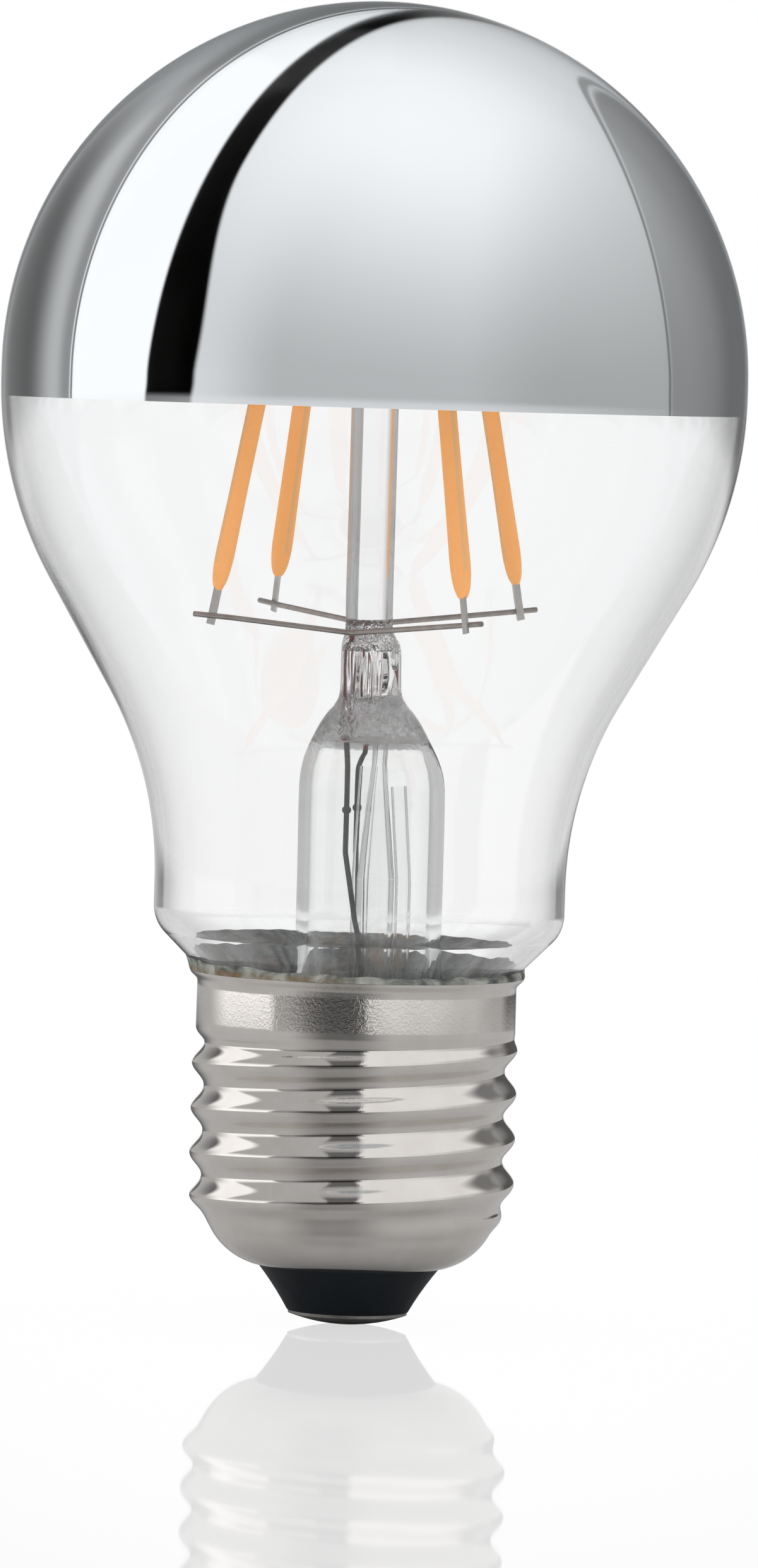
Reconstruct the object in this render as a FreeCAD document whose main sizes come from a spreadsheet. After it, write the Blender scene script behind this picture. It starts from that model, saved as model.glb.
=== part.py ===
import FreeCAD, Part
import Sketcher
import math
import os

# Crown-mirrored filament lamp with a rolled screw cap, in millimetres.
# The origin is the tip of the centre contact and +Z runs up the lamp's axis.
# The viewer of the front stands at -Y, with +X to the right.

Vector = FreeCAD.Vector

# Every size that can be set by itself. Angles are in degrees.
SIZES = {
    # Glass envelope
    "globe_radius": 30.0,
    "globe_band_height": 0.9,
    "flank_radius": 32.0,
    "flank_angle": 30.0,
    "waist_radius": 30.0,
    "neck_radius": 16.55,
    "neck_length": 2.091,
    "shoulder_rise": 6.0,
    "shoulder_radius": 3.2,
    "shoulder_angle": 45.0,
    "throat_radius": 3.0,
    "tail_radius": 11.4,
    "tail_bottom_height": 21.0,
    "glass_wall": 0.7,
    # Mirror on the inside of the crown
    "mirror_rim_drop": 2.4,
    "mirror_thickness": 0.08,
    # Stem: flare tube, dome and press
    "flare_tube_radius": 5.875,
    "flare_wall": 0.9,
    "seal_land_height": 0.5,
    "flare_curve_radius": 11.7,
    "dome_rise": 8.5,
    "dome_hollow_rise": 6.3,
    "dome_shoulder_rise": 4.8,
    "dome_shoulder_radius": 5.15,
    "press_floor": 1.9,
    "press_flat_length": 3.0,
    "press_height": 5.1,
    "press_aside": 0.6,
    "press_width": 8.6,
    "press_thickness": 3.6,
    "press_turn": 76.0,
    "blow_bulge_radius": 1.7,
    "blow_bulge_rise": 1.4,
    "blow_bulge_offset": 1.1,
    "blow_hole_radius": 0.4,
    # Exhaust tube
    "exhaust_offset": 1.25,
    "exhaust_radius": 1.5,
    "exhaust_throat_radius": 0.6,
    "exhaust_wall": 0.3,
    "exhaust_tip_height": 17.6,
    "exhaust_throat_rise": 3.5,
    "exhaust_taper_length": 9.5,
    # Column and its button
    "column_radius": 1.85,
    "button_radius": 2.9,
    "link_depth": 0.3,
    # Wires
    "support_wire_radius": 0.22,
    "seal_wire_radius": 0.2,
    "lead_out_radius": 0.21,
    "weld_bead_radius": 0.36,
    "weld_bead_drop": 3.54,
    "seal_wire_offset": 2.6,
    "seal_wire_reach": 1.1,
    "lead_out_drop": 0.6,
    "lead_out_knee_drop": 2.0,
    "lead_out_bend_drop": 7.0,
    "lead_out_throat_drop": 9.2,
    "lead_out_front_x": -1.18,
    "lead_out_front_y": -2.25,
    "lead_out_front_foot_x": 0.3,
    "lead_out_front_foot_y": -2.5,
    "lead_out_rear_x": -0.48,
    "lead_out_rear_y": 2.8,
    "lead_out_rear_foot_x": -0.1,
    "lead_out_rear_foot_y": 3.2,
    "lead_out_bend_radius": 2.0,
    "lower_wire_rise": 0.6,
    "wire_overhang": 1.5,
    "link_overhang": 1.2,
    "wire_approach": 1.6,
    "link_vertex_offset": 1.0,
    "link_vertex_rise": 1.68,
    "wire_bend": 0.7,
    # Translucent sleeves
    "sleeve_radius": 0.62,
    "sleeve_wall": 0.16,
    "sleeve_left_rise": 3.3,
    "sleeve_right_rise": 1.7,
    "sleeve_bow_drop": 6.0,
    "sleeve_stand": 0.3,
    "sleeve_left_top_x": 0.3,
    "sleeve_left_top_y": 1.7,
    "sleeve_left_foot_x": -0.1,
    "sleeve_left_foot_y": 1.8,
    "sleeve_right_top_x": 2.85,
    "sleeve_right_top_y": -1.05,
    "sleeve_right_foot_x": 3.42,
    "sleeve_right_foot_y": -1.2,
    "sleeve_bend_radius": 20.0,
    # Filaments
    "filament_circle_radius": 14.1,
    "filament_phase": 32.0,
    "filament_lean": 12.0,
    "filament_rise": 3.85,
    "rear_filament_lift": 0.6,
    "coat_length": 30.3,
    "coat_thickness": 1.75,
    "coat_width": 1.4,
    "coat_taper_length": 2.5,
    "strip_thickness": 0.34,
    "strip_proud": 0.02,
    "strip_inset": 2.0,
    "terminal_width": 0.66,
    "terminal_thickness": 0.2,
    "lower_terminal_length": 2.8,
    "upper_terminal_length": 3.5,
    "lower_cross_distance": 2.1,
    "upper_cross_distance": 2.9,
    # Screw shell
    "shell_wall": 0.3,
    "thread_pitch": 3.63,
    "thread_crest_radius": 13.1,
    "thread_root_radius": 12.1,
    "thread_crest_height": 22.6,
    "thread_start_height": 7.5,
    "thread_lead_in": 3.0,
    "thread_lead_out": 1.6,
    "skirt_radius": 12.87,
    "skirt_top_height": 27.5,
    "skirt_length": 3.6,
    "lip_height": 0.8,
    "lip_flare": 0.6,
    "shell_opening_radius": 7.35,
    "shell_bottom_height": 4.7,
    "shell_curve_radius": 5.48,
    "shell_curve_height": 10.1,
    # Insulator, contact and cement
    "insulator_bottom_height": 1.1,
    "insulator_bottom_radius": 4.9,
    "insulator_flank_radius": 25.0,
    "insulator_top_height": 6.9,
    "insulator_dish_radius": 3.2,
    "insulator_dish_depth": 0.9,
    "contact_radius": 4.8,
    "contact_dome_height": 0.85,
    "contact_pin_radius": 1.3,
    "contact_pin_height": 7.4,
    "contact_bore_radius": 0.5,
    "contact_head_depth": 0.9,
    "cement_depth": 3.3,
    "cement_bead_rise": 1.3,
    "cement_bead_lip": 0.15,
    "seat_gap": 0.02,
    # Driver in the cap
    "board_radius": 10.2,
    "board_thickness": 1.0,
    "board_top_height": 15.0,
    "capacitor_radius": 3.15,
    "capacitor_length": 11.0,
    "capacitor_offset": 3.6,
    "capacitor_groove_depth": 0.25,
    "component_clearance": 0.15,
    "component_lead_radius": 0.25,
    "component_lead_reach": 1.1,
    "capacitor_lead_offset": 1.0,
    "rectifier_length": 4.7,
    "chip_length": 4.9,
    "package_width": 3.9,
    "package_height": 1.4,
    "package_standoff": 0.1,
    "package_leg_width": 0.5,
    "package_leg_reach": 1.0,
    "package_leg_thickness": 0.2,
    "package_place": 4.6,
    "package_spread": 3.2,
    "rectifier_leg_pitch": 2.54,
    "chip_leg_pitch": 1.0,
    "resistor_radius": 1.3,
    "resistor_waist_radius": 1.05,
    "resistor_length": 6.5,
    "resistor_end_length": 1.4,
    "resistor_offset": 4.2,
    "live_lead_radius": 0.42,
    "live_bend_radius": 1.0,
    "live_place_x": 1.8,
    "live_place_y": 1.8,
    "live_rise": 1.2,
    "live_drop": 2.3,
    "neutral_lead_radius": 0.42,
    "solder_radius": 0.62,
    "solder_height": 17.2,
    "solder_depth": 0.4,
    "solder_place_y": -1.0,
    "neutral_place_x": 8.6,
}

document = FreeCAD.newDocument("filament_lamp")
sheet = document.addObject("Spreadsheet::Sheet", "Sizes")
for row, (alias, number) in enumerate(SIZES.items(), start=1):
    sheet.set(f"A{row}", alias)
    sheet.set(f"B{row}", str(number))
    sheet.setAlias(f"B{row}", alias)
document.recompute()

sub_parts = []


class Length:
    """A number with the expression that gives it from the sheet."""

    def __init__(self, number, text):
        self.number = number
        self.text = text

    def __add__(self, other):
        other = as_length(other)
        return Length(self.number + other.number, f"({self.text} + {other.text})")

    def __sub__(self, other):
        other = as_length(other)
        return Length(self.number - other.number, f"({self.text} - {other.text})")

    def __mul__(self, other):
        other = as_length(other)
        return Length(self.number * other.number, f"({self.text} * {other.text})")

    def __truediv__(self, other):
        other = as_length(other)
        return Length(self.number / other.number, f"({self.text} / {other.text})")

    def __neg__(self):
        return Length(-self.number, f"(0 - {self.text})")


def as_length(value):
    if isinstance(value, Length):
        return value
    return Length(float(value), str(float(value)))


def size(alias):
    return Length(SIZES[alias], f"Sizes.{alias}")


def sine(angle):
    return Length(math.sin(math.radians(angle.number)), f"sin({angle.text} * 1deg)")


def cosine(angle):
    return Length(math.cos(math.radians(angle.number)), f"cos({angle.text} * 1deg)")


def tangent(angle):
    return sine(angle) / cosine(angle)


def root(square):
    return Length(math.sqrt(square.number), f"sqrt({square.text})")


def leg(hypotenuse, other_leg):
    """The remaining leg of a right triangle."""
    return root(hypotenuse * hypotenuse - other_leg * other_leg)


ZERO = as_length(0)


def bind(item, path, length):
    item.setExpression(path, as_length(length).text)


def place(item, x=ZERO, y=ZERO, z=ZERO):
    for axis, length in (("x", x), ("y", y), ("z", z)):
        bind(item, f"Placement.Base.{axis}", length)


def keep(item, label):
    """Names a finished sub-part, which is written under that name."""
    item.Label = label
    sub_parts.append(item)
    return item


# Turned pieces. An outline is made of runs of edges, and each edge is its start, its
# end, and for an arc its radius and its centre. Points are (radius, height).


def line(start, end):
    return (start, end, None, None)


def arc(start, end, radius, centre):
    return (start, end, radius, centre)


def backwards(run):
    return [(end, start, radius, centre) for start, end, radius, centre in reversed(run)]


def far_apart(point, other):
    return math.hypot(point[0].number - other[0].number, point[1].number - other[1].number) > 1e-9


def closed(*runs):
    """One outline from runs, with a straight edge wherever one doesn't meet the next."""
    outline = []
    for run in runs:
        if outline and far_apart(outline[-1][1], run[0][0]):
            outline.append(line(outline[-1][1], run[0][0]))
        outline.extend(run)
    if far_apart(outline[-1][1], outline[0][0]):
        outline.append(line(outline[-1][1], outline[0][0]))
    return outline


def through(*points):
    """A run of straight edges through points."""
    return [line(start, end) for start, end in zip(points, points[1:])]


def flat(point):
    return Vector(point[0].number, point[1].number, 0)


def add_edge(sketch, edge):
    """Adds one edge of an outline and returns it with its first and last end."""
    start, end, radius, centre = edge
    if radius is None:
        return sketch.addGeometry(Part.LineSegment(flat(start), flat(end))), 1, 2
    middle = flat(centre)
    first = flat(start) - middle
    last = flat(end) - middle
    first_angle = math.atan2(first.y, first.x)
    last_angle = math.atan2(last.y, last.x)
    circle = Part.Circle(middle, Vector(0, 0, 1), radius.number)
    if first.cross(last).z > 0:
        index = sketch.addGeometry(Part.ArcOfCircle(circle, first_angle, last_angle))
        ends = (1, 2)
    else:
        index = sketch.addGeometry(Part.ArcOfCircle(circle, last_angle, first_angle))
        ends = (2, 1)
    rule = sketch.addConstraint(Sketcher.Constraint("Radius", index, radius.number))
    bind(sketch, f"Constraints[{rule}]", radius)
    return index, ends[0], ends[1]


def pin_corner(sketch, index, end, corner):
    """Holds one corner of a sketch at its radius and height."""
    across, up = corner
    if across is ZERO:
        sketch.addConstraint(Sketcher.Constraint("PointOnObject", index, end, -2))
    else:
        rule = sketch.addConstraint(
            Sketcher.Constraint("DistanceX", -1, 1, index, end, across.number))
        bind(sketch, f"Constraints[{rule}]", across)
    rule = sketch.addConstraint(Sketcher.Constraint("DistanceY", -1, 1, index, end, up.number))
    bind(sketch, f"Constraints[{rule}]", up)


def turned(name, outline):
    """A body of revolution about Z from a closed outline."""
    body = document.addObject("PartDesign::Body", name)
    sketch = body.newObject("Sketcher::SketchObject", f"{name}_outline")
    plane = next(item for item in body.Origin.OriginFeatures if item.Role == "XZ_Plane")
    sketch.AttachmentSupport = [(plane, "")]
    sketch.MapMode = "FlatFace"
    edges = [add_edge(sketch, edge) for edge in outline]
    for number, (index, first, last) in enumerate(edges):
        next_index, next_first, next_last = edges[(number + 1) % len(edges)]
        sketch.addConstraint(Sketcher.Constraint("Coincident", index, last, next_index, next_first))
        pin_corner(sketch, index, first, outline[number][0])
    turn = body.newObject("PartDesign::Revolution", f"{name}_turn")
    turn.Profile = sketch
    turn.ReferenceAxis = (sketch, ["V_Axis"])
    turn.Angle = 360
    body.Tip = turn
    return body


# Other forms


def cylinder(name, radius, height, x=ZERO, y=ZERO, z=ZERO, rotation=None):
    item = document.addObject("Part::Cylinder", name)
    bind(item, "Radius", radius)
    bind(item, "Height", height)
    if rotation is not None:
        item.Placement = FreeCAD.Placement(Vector(0, 0, 0), rotation)
    place(item, x, y, z)
    return item


def ball(name, radius, x=ZERO, y=ZERO, z=ZERO):
    item = document.addObject("Part::Sphere", name)
    bind(item, "Radius", radius)
    place(item, x, y, z)
    return item


def without(name, base, tool):
    item = document.addObject("Part::Cut", name)
    item.Base = base
    item.Tool = tool
    return item


def together(name, pieces):
    item = document.addObject("Part::MultiFuse", name)
    item.Shapes = pieces
    return item


def lofted(name, sections):
    """A solid through ellipses, each given as (major, minor, placement)."""
    rings = []
    for number, (major, minor, placement) in enumerate(sections, start=1):
        ring = document.addObject("Part::Ellipse", f"{name}_ring_{number}")
        bind(ring, "MajorRadius", major)
        bind(ring, "MinorRadius", minor)
        ring.Placement = placement
        rings.append(ring)
    item = document.addObject("Part::Loft", name)
    item.Sections = rings
    item.Solid = True
    item.Ruled = False
    return item


def shaped(name, shape):
    """An object for a form on a route in space, made from the sizes in the sheet."""
    item = document.addObject("Part::Feature", name)
    item.Shape = shape
    return item


def rounded_path(points, bend):
    """Straight runs through points, joined by tangent arcs that fit their runs."""
    edges = []
    begin = points[0]
    for before, corner, after in zip(points, points[1:], points[2:]):
        inward = (corner - before).normalize()
        onward = (after - corner).normalize()
        half_turn = inward.getAngle(onward) / 2
        room = 0.45 * min(corner.distanceToPoint(before), corner.distanceToPoint(after))
        radius = min(bend, room / math.tan(half_turn))
        back_off = radius * math.tan(half_turn)
        to_centre = (onward - inward).normalize()
        enter = corner - inward * back_off
        leave = corner + onward * back_off
        middle = corner + to_centre * (radius / math.cos(half_turn) - radius)
        edges.append(Part.LineSegment(begin, enter).toShape())
        edges.append(Part.Arc(enter, middle, leave).toShape())
        begin = leave
    edges.append(Part.LineSegment(begin, points[-1]).toShape())
    return Part.Wire(edges)


def round_wire(points, radius, bend):
    """A round wire along points."""
    path = rounded_path(points, bend)
    circle = Part.makeCircle(radius, points[0], points[1] - points[0])
    return path.makePipeShell([Part.Wire(circle)], True, True)


def number_of(alias):
    return SIZES[alias]


def polar(radius, azimuth, height):
    angle = math.radians(azimuth)
    return Vector(radius * math.cos(angle), radius * math.sin(angle), height)


# Glass envelope and its mirror

shoulder_height = size("skirt_top_height") + size("shoulder_rise")
waist_centre = (size("neck_radius") + size("waist_radius"), shoulder_height + size("neck_length"))
waist_start_radius = waist_centre[0] - size("waist_radius") * cosine(size("flank_angle"))
waist_start_height = waist_centre[1] + size("waist_radius") * sine(size("flank_angle"))
flank_end_radius = (
    size("globe_radius") - size("flank_radius")
    + size("flank_radius") * cosine(size("flank_angle")))
flank_end_height = (
    waist_start_height + (flank_end_radius - waist_start_radius) / tangent(size("flank_angle")))
band_bottom = flank_end_height + size("flank_radius") * sine(size("flank_angle"))
flank_centre = (size("globe_radius") - size("flank_radius"), band_bottom)
globe_centre = (ZERO, band_bottom + size("globe_band_height"))
shoulder_centre = (size("neck_radius") - size("shoulder_radius"), shoulder_height)
shoulder_end_radius = (
    shoulder_centre[0] + size("shoulder_radius") * cosine(size("shoulder_angle")))
shoulder_end_height = (
    shoulder_height - size("shoulder_radius") * sine(size("shoulder_angle")))
throat_start_radius = (
    size("tail_radius") + size("throat_radius")
    - size("throat_radius") * cosine(size("shoulder_angle")))
throat_start_height = (
    shoulder_end_height
    - (shoulder_end_radius - throat_start_radius) / tangent(size("shoulder_angle")))
throat_centre = (
    size("tail_radius") + size("throat_radius"),
    throat_start_height - size("throat_radius") * sine(size("shoulder_angle")))


def globe_run(inset):
    """The envelope's side from its top to the neck, moved inward by inset."""
    crown = size("globe_radius") - inset
    flank = size("flank_radius") - inset
    waist = size("waist_radius") + inset
    top = (ZERO, globe_centre[1] + crown)
    equator = (crown, globe_centre[1])
    band_end = (crown, band_bottom)
    flank_end = (
        flank_centre[0] + flank * cosine(size("flank_angle")),
        flank_centre[1] - flank * sine(size("flank_angle")))
    waist_start = (
        waist_centre[0] - waist * cosine(size("flank_angle")),
        waist_centre[1] + waist * sine(size("flank_angle")))
    neck_top = (size("neck_radius") - inset, waist_centre[1])
    return [
        arc(top, equator, crown, globe_centre),
        line(equator, band_end),
        arc(band_end, flank_end, flank, flank_centre),
        line(flank_end, waist_start),
        arc(waist_start, neck_top, waist, waist_centre),
    ]


def tail_run(inset):
    """The envelope's side from the neck to the end of its tail, moved inward by inset."""
    shoulder = size("shoulder_radius") - inset
    throat = size("throat_radius") + inset
    neck_top = (size("neck_radius") - inset, waist_centre[1])
    neck_bottom = (size("neck_radius") - inset, shoulder_height)
    shoulder_end = (
        shoulder_centre[0] + shoulder * cosine(size("shoulder_angle")),
        shoulder_centre[1] - shoulder * sine(size("shoulder_angle")))
    throat_start = (
        throat_centre[0] - throat * cosine(size("shoulder_angle")),
        throat_centre[1] + throat * sine(size("shoulder_angle")))
    throat_end = (size("tail_radius") - inset, throat_centre[1])
    tail_end = (size("tail_radius") - inset, size("tail_bottom_height"))
    return [
        line(neck_top, neck_bottom),
        arc(neck_bottom, shoulder_end, shoulder, shoulder_centre),
        line(shoulder_end, throat_start),
        arc(throat_start, throat_end, throat, throat_centre),
        line(throat_end, tail_end),
    ]


glass_wall = size("glass_wall")
keep(turned("glass_envelope", closed(
    globe_run(ZERO) + tail_run(ZERO),
    backwards(globe_run(glass_wall) + tail_run(glass_wall)))), "glass_envelope")

mirror_skin = turned("mirror_skin", closed(
    globe_run(glass_wall),
    backwards(globe_run(glass_wall + size("mirror_thickness")))))
silvered_zone = cylinder(
    "silvered_zone", size("globe_radius"), size("globe_radius") + globe_centre[1],
    z=globe_centre[1] - size("mirror_rim_drop"))
crown_mirror = document.addObject("Part::Common", "crown_mirror")
crown_mirror.Base = mirror_skin
crown_mirror.Tool = silvered_zone
keep(crown_mirror, "crown_mirror")

# Heights in the stem and above it, from the start of the dome upward

dome_start = shoulder_height + size("dome_rise")
dome_shoulder = dome_start + size("dome_shoulder_rise")
hollow_top = dome_start + size("dome_hollow_rise")
press_bottom = hollow_top + size("press_floor")
press_top = press_bottom + size("press_height")
bulge_height = press_bottom + size("blow_bulge_rise")
exhaust_throat = dome_start + size("exhaust_throat_rise")
exhaust_full = exhaust_throat - size("exhaust_taper_length")
seal_wire_bottom = hollow_top - size("seal_wire_reach")
upper_cross = (
    press_top + size("filament_rise")
    + (size("coat_length") + size("upper_cross_distance")) * cosine(size("filament_lean")))
link_vertex = upper_cross + size("link_vertex_rise")

# Filament frames. The frame of a filament stands where its coat starts, with its own
# X outward, its Y along the circle and its Z up the filament.

QUARTERS = {1: 2, 2: 1, 3: 3, 4: 0}
REAR_PAIR = (2, 4)


def wire_lift(number):
    """How much higher a filament stands on the rear support wire."""
    return size("rear_filament_lift") if number in REAR_PAIR else ZERO


def coat_start(number):
    return press_top + size("filament_rise") + wire_lift(number)


def azimuth_of(number):
    return number_of("filament_phase") + 90 * QUARTERS[number]


def filament_place(number, along, across=0.0, turn=0.0):
    azimuth = azimuth_of(number)
    start = polar(number_of("filament_circle_radius"), azimuth, coat_start(number).number)
    upright = FreeCAD.Rotation(Vector(0, 0, 1), azimuth)
    lean = FreeCAD.Rotation(Vector(0, 1, 0), -number_of("filament_lean"))
    frame = FreeCAD.Placement(start, upright * lean)
    own = FreeCAD.Rotation(Vector(0, 0, 1), turn)
    return frame * FreeCAD.Placement(Vector(0, across, along), own)


def bar(name, number, width, thickness, start, end):
    """A flat bar along a filament, its width pointing outward."""
    item = document.addObject("Part::Box", name)
    bind(item, "Length", width)
    bind(item, "Width", thickness)
    bind(item, "Height", end - start)
    corner = FreeCAD.Placement(
        Vector(-width.number / 2, -thickness.number / 2, 0), FreeCAD.Rotation())
    item.Placement = filament_place(number, start.number) * corner
    return item


def filament(number):
    """The coat, the strip in it and the two end tabs of one filament."""
    length = size("coat_length")
    strip_start = size("strip_inset")
    strip_end = length - size("strip_inset")
    strip = bar(
        f"filament_{number}_strip", number, size("coat_width") + size("strip_proud") * 2,
        size("strip_thickness"), strip_start, strip_end)
    lower = bar(
        f"filament_{number}_lower_terminal", number, size("terminal_width"),
        size("terminal_thickness"), -size("lower_terminal_length"), strip_start)
    upper = bar(
        f"filament_{number}_upper_terminal", number, size("terminal_width"),
        size("terminal_thickness"), strip_end, length + size("upper_terminal_length"))
    taper = size("coat_taper_length")
    # The coat's rounded ends: how far along the taper, and how full the section is.
    fullness = [(0.0, 0.36), (0.14, 0.62), (0.45, 0.86), (1.0, 1.0), (1.5, 1.0)]
    from_start = [(taper * part, full) for part, full in fullness]
    from_end = [(length - taper * part, full) for part, full in reversed(fullness)]
    sections = []
    for along, full in from_start + from_end:
        placement = filament_place(number, along.number, turn=90)
        sections.append((
            size("coat_thickness") / 2 * full, size("coat_width") / 2 * full, placement))
    blank = lofted(f"filament_{number}_blank", sections)
    core = together(f"filament_{number}_core", [strip, lower, upper])
    coat = without(f"filament_{number}", blank, core)
    keep(coat, f"filament_{number}")
    keep(strip, f"filament_{number}_strip")
    keep(lower, f"filament_{number}_lower_terminal")
    keep(upper, f"filament_{number}_upper_terminal")


for filament_number in QUARTERS:
    filament(filament_number)

# Support wires. Each is one wire bent to a V, and it lies against the tabs of two
# filaments in their radial planes.


def wire_arm(number, along, vertex_height, overhang, approach):
    """The end and the knee of a support wire at a filament's tab, from outside in."""
    lean = math.radians(number_of("filament_lean"))
    reach = number_of("filament_circle_radius") - along * math.sin(lean)
    height = coat_start(number).number + along * math.cos(lean)
    aside = number_of("terminal_thickness") / 2 + number_of("support_wire_radius")
    slope = (height - vertex_height) / reach
    azimuth = azimuth_of(number)
    sideways = polar(aside, azimuth + 90, 0)
    outside = reach + number_of("terminal_width") / 2 + overhang
    inside = reach - approach
    return [
        polar(outside, azimuth, height + slope * (outside - reach)) + sideways,
        polar(inside, azimuth, height + slope * (inside - reach)) + sideways,
    ]


def v_wire(name, vertex, pair, along, overhang, approach):
    first = wire_arm(pair[0], along, vertex.z, overhang, approach)
    second = wire_arm(pair[1], along, vertex.z, overhang, approach)
    points = first + [vertex] + list(reversed(second))
    item = shaped(name, round_wire(
        points, number_of("support_wire_radius"), number_of("wire_bend")))
    return keep(item, name)


SIDES = (("front", 180, (1, 3)), ("rear", 0, REAR_PAIR))


def seal_place(turn, height):
    """A place on the line of a seal wire, which stands in the press."""
    place_on_press = polar(
        number_of("seal_wire_offset"), number_of("press_turn") + turn, height.number)
    return place_on_press - Vector(number_of("press_aside"), 0, 0)


def vertex_height(pair):
    return press_top + size("lower_wire_rise") + wire_lift(pair[0])


for side, turn, pair in SIDES:
    v_wire(
        f"lower_support_{side}", seal_place(turn, vertex_height(pair)), pair,
        -number_of("lower_cross_distance"), number_of("wire_overhang"),
        number_of("wire_approach"))

links = []
for side, turn, pair in (("left", 135, (1, 2)), ("right", -45, (3, 4))):
    links.append(v_wire(
        f"upper_link_{side}",
        polar(
            number_of("link_vertex_offset"), number_of("filament_phase") + turn,
            link_vertex.number),
        pair, number_of("coat_length") + number_of("upper_cross_distance"),
        number_of("link_overhang"), number_of("wire_approach")))

# Column with its melted button, in which the upper links are held

button_centre = (ZERO, link_vertex - size("link_depth"))
button_start = (
    size("column_radius"),
    button_centre[1] - leg(size("button_radius"), size("column_radius")))
button_side = (size("button_radius"), button_centre[1])
button_top = (ZERO, button_centre[1] + size("button_radius"))
column_blank = turned("column_blank", closed(
    through((ZERO, press_top), (size("column_radius"), press_top)),
    [line((size("column_radius"), press_top), button_start)],
    [arc(button_start, button_side, size("button_radius"), button_centre)],
    [arc(button_side, button_top, size("button_radius"), button_centre)]))
keep(without("support_column", column_blank, together("held_links", links)), "support_column")

# Exhaust tube, drawn thin where it enters the press and melted shut at its tip

exhaust_bore = size("exhaust_radius") - size("exhaust_wall")
exhaust_throat_bore = size("exhaust_throat_radius") - size("exhaust_wall")
tip_centre = (ZERO, size("exhaust_tip_height") + size("exhaust_radius"))
exhaust_tube = turned("exhaust_tube", closed(
    [arc((ZERO, size("exhaust_tip_height")), (size("exhaust_radius"), tip_centre[1]),
         size("exhaust_radius"), tip_centre)],
    through(
        (size("exhaust_radius"), tip_centre[1]),
        (size("exhaust_radius"), exhaust_full),
        (size("exhaust_throat_radius"), exhaust_throat),
        (size("exhaust_throat_radius"), bulge_height),
        (exhaust_throat_bore, bulge_height),
        (exhaust_throat_bore, exhaust_throat),
        (exhaust_bore, exhaust_full),
        (exhaust_bore, tip_centre[1])),
    [arc((exhaust_bore, tip_centre[1]),
         (ZERO, size("exhaust_tip_height") + size("exhaust_wall")), exhaust_bore, tip_centre)]))
place(exhaust_tube, x=size("exhaust_offset"))
keep(exhaust_tube, "exhaust_tube")

# Wires sealed in the press, and the wires that lead down from them

seal_wires = []
for side, turn, pair in SIDES:
    foot = seal_place(turn, seal_wire_bottom)
    seal_wires.append(keep(cylinder(
        f"seal_wire_{side}", size("seal_wire_radius"),
        vertex_height(pair) - size("support_wire_radius") - seal_wire_bottom,
        x=as_length(foot.x), y=as_length(foot.y), z=seal_wire_bottom),
        f"seal_wire_{side}"))

board_bottom = size("board_top_height") - size("board_thickness")
lead_outs = []
for side, turn, pair in SIDES:
    across = Vector(number_of(f"lead_out_{side}_x"), number_of(f"lead_out_{side}_y"), 0)
    foot = Vector(number_of(f"lead_out_{side}_foot_x"), number_of(f"lead_out_{side}_foot_y"), 0)
    start = seal_place(turn, seal_wire_bottom)
    knee_height = start.z - number_of("lead_out_knee_drop")
    bend_height = knee_height - number_of("lead_out_bend_drop")
    points = [
        start,
        start - Vector(0, 0, number_of("lead_out_drop")),
        across + Vector(0, 0, knee_height),
        across + Vector(0, 0, bend_height),
        foot + Vector(0, 0, bend_height - number_of("lead_out_throat_drop")),
        foot + Vector(0, 0, board_bottom.number),
    ]
    wire = round_wire(points, number_of("lead_out_radius"), number_of("lead_out_bend_radius"))
    bead = Part.makeSphere(
        number_of("weld_bead_radius"), points[2] - Vector(0, 0, number_of("weld_bead_drop")))
    lead_outs.append(keep(
        shaped(f"lead_out_wire_{side}", wire.fuse(bead)), f"lead_out_wire_{side}"))

# Stem: the flare tube spreads to the neck's tail, and its top is pressed flat

tail_bore = size("tail_radius") - glass_wall
flare_reach = tail_bore - size("flare_tube_radius")
flare_curve = size("flare_curve_radius")
seal_land_top = size("tail_bottom_height") + size("seal_land_height")
flare_start = seal_land_top + leg(flare_curve, flare_curve - flare_reach)
flare_centre = (size("flare_tube_radius") + flare_curve, flare_start)
flare_bore = size("flare_tube_radius") - size("flare_wall")
flare_inner_curve = flare_curve + size("flare_wall")
flare_foot = flare_centre[0] - leg(flare_inner_curve, flare_start - size("tail_bottom_height"))
flare_tube = turned("flare_tube", closed(
    through(
        (size("flare_tube_radius"), dome_start),
        (size("flare_tube_radius"), flare_start)),
    [arc((size("flare_tube_radius"), flare_start), (tail_bore, seal_land_top),
         flare_curve, flare_centre)],
    through(
        (tail_bore, seal_land_top),
        (tail_bore, size("tail_bottom_height")),
        (flare_foot, size("tail_bottom_height"))),
    [arc((flare_foot, size("tail_bottom_height")), (flare_bore, flare_start),
         flare_inner_curve, flare_centre)],
    through((flare_bore, flare_start), (flare_bore, dome_start))))

press_rotation = FreeCAD.Rotation(Vector(0, 0, 1), number_of("press_turn"))


def press_sections(table):
    """Ellipses from (height, half width, half thickness, share of the press's shift)."""
    return [
        (major, minor, FreeCAD.Placement(
            Vector(-number_of("press_aside") * share, 0, height.number), press_rotation))
        for height, major, minor, share in table]


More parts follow.
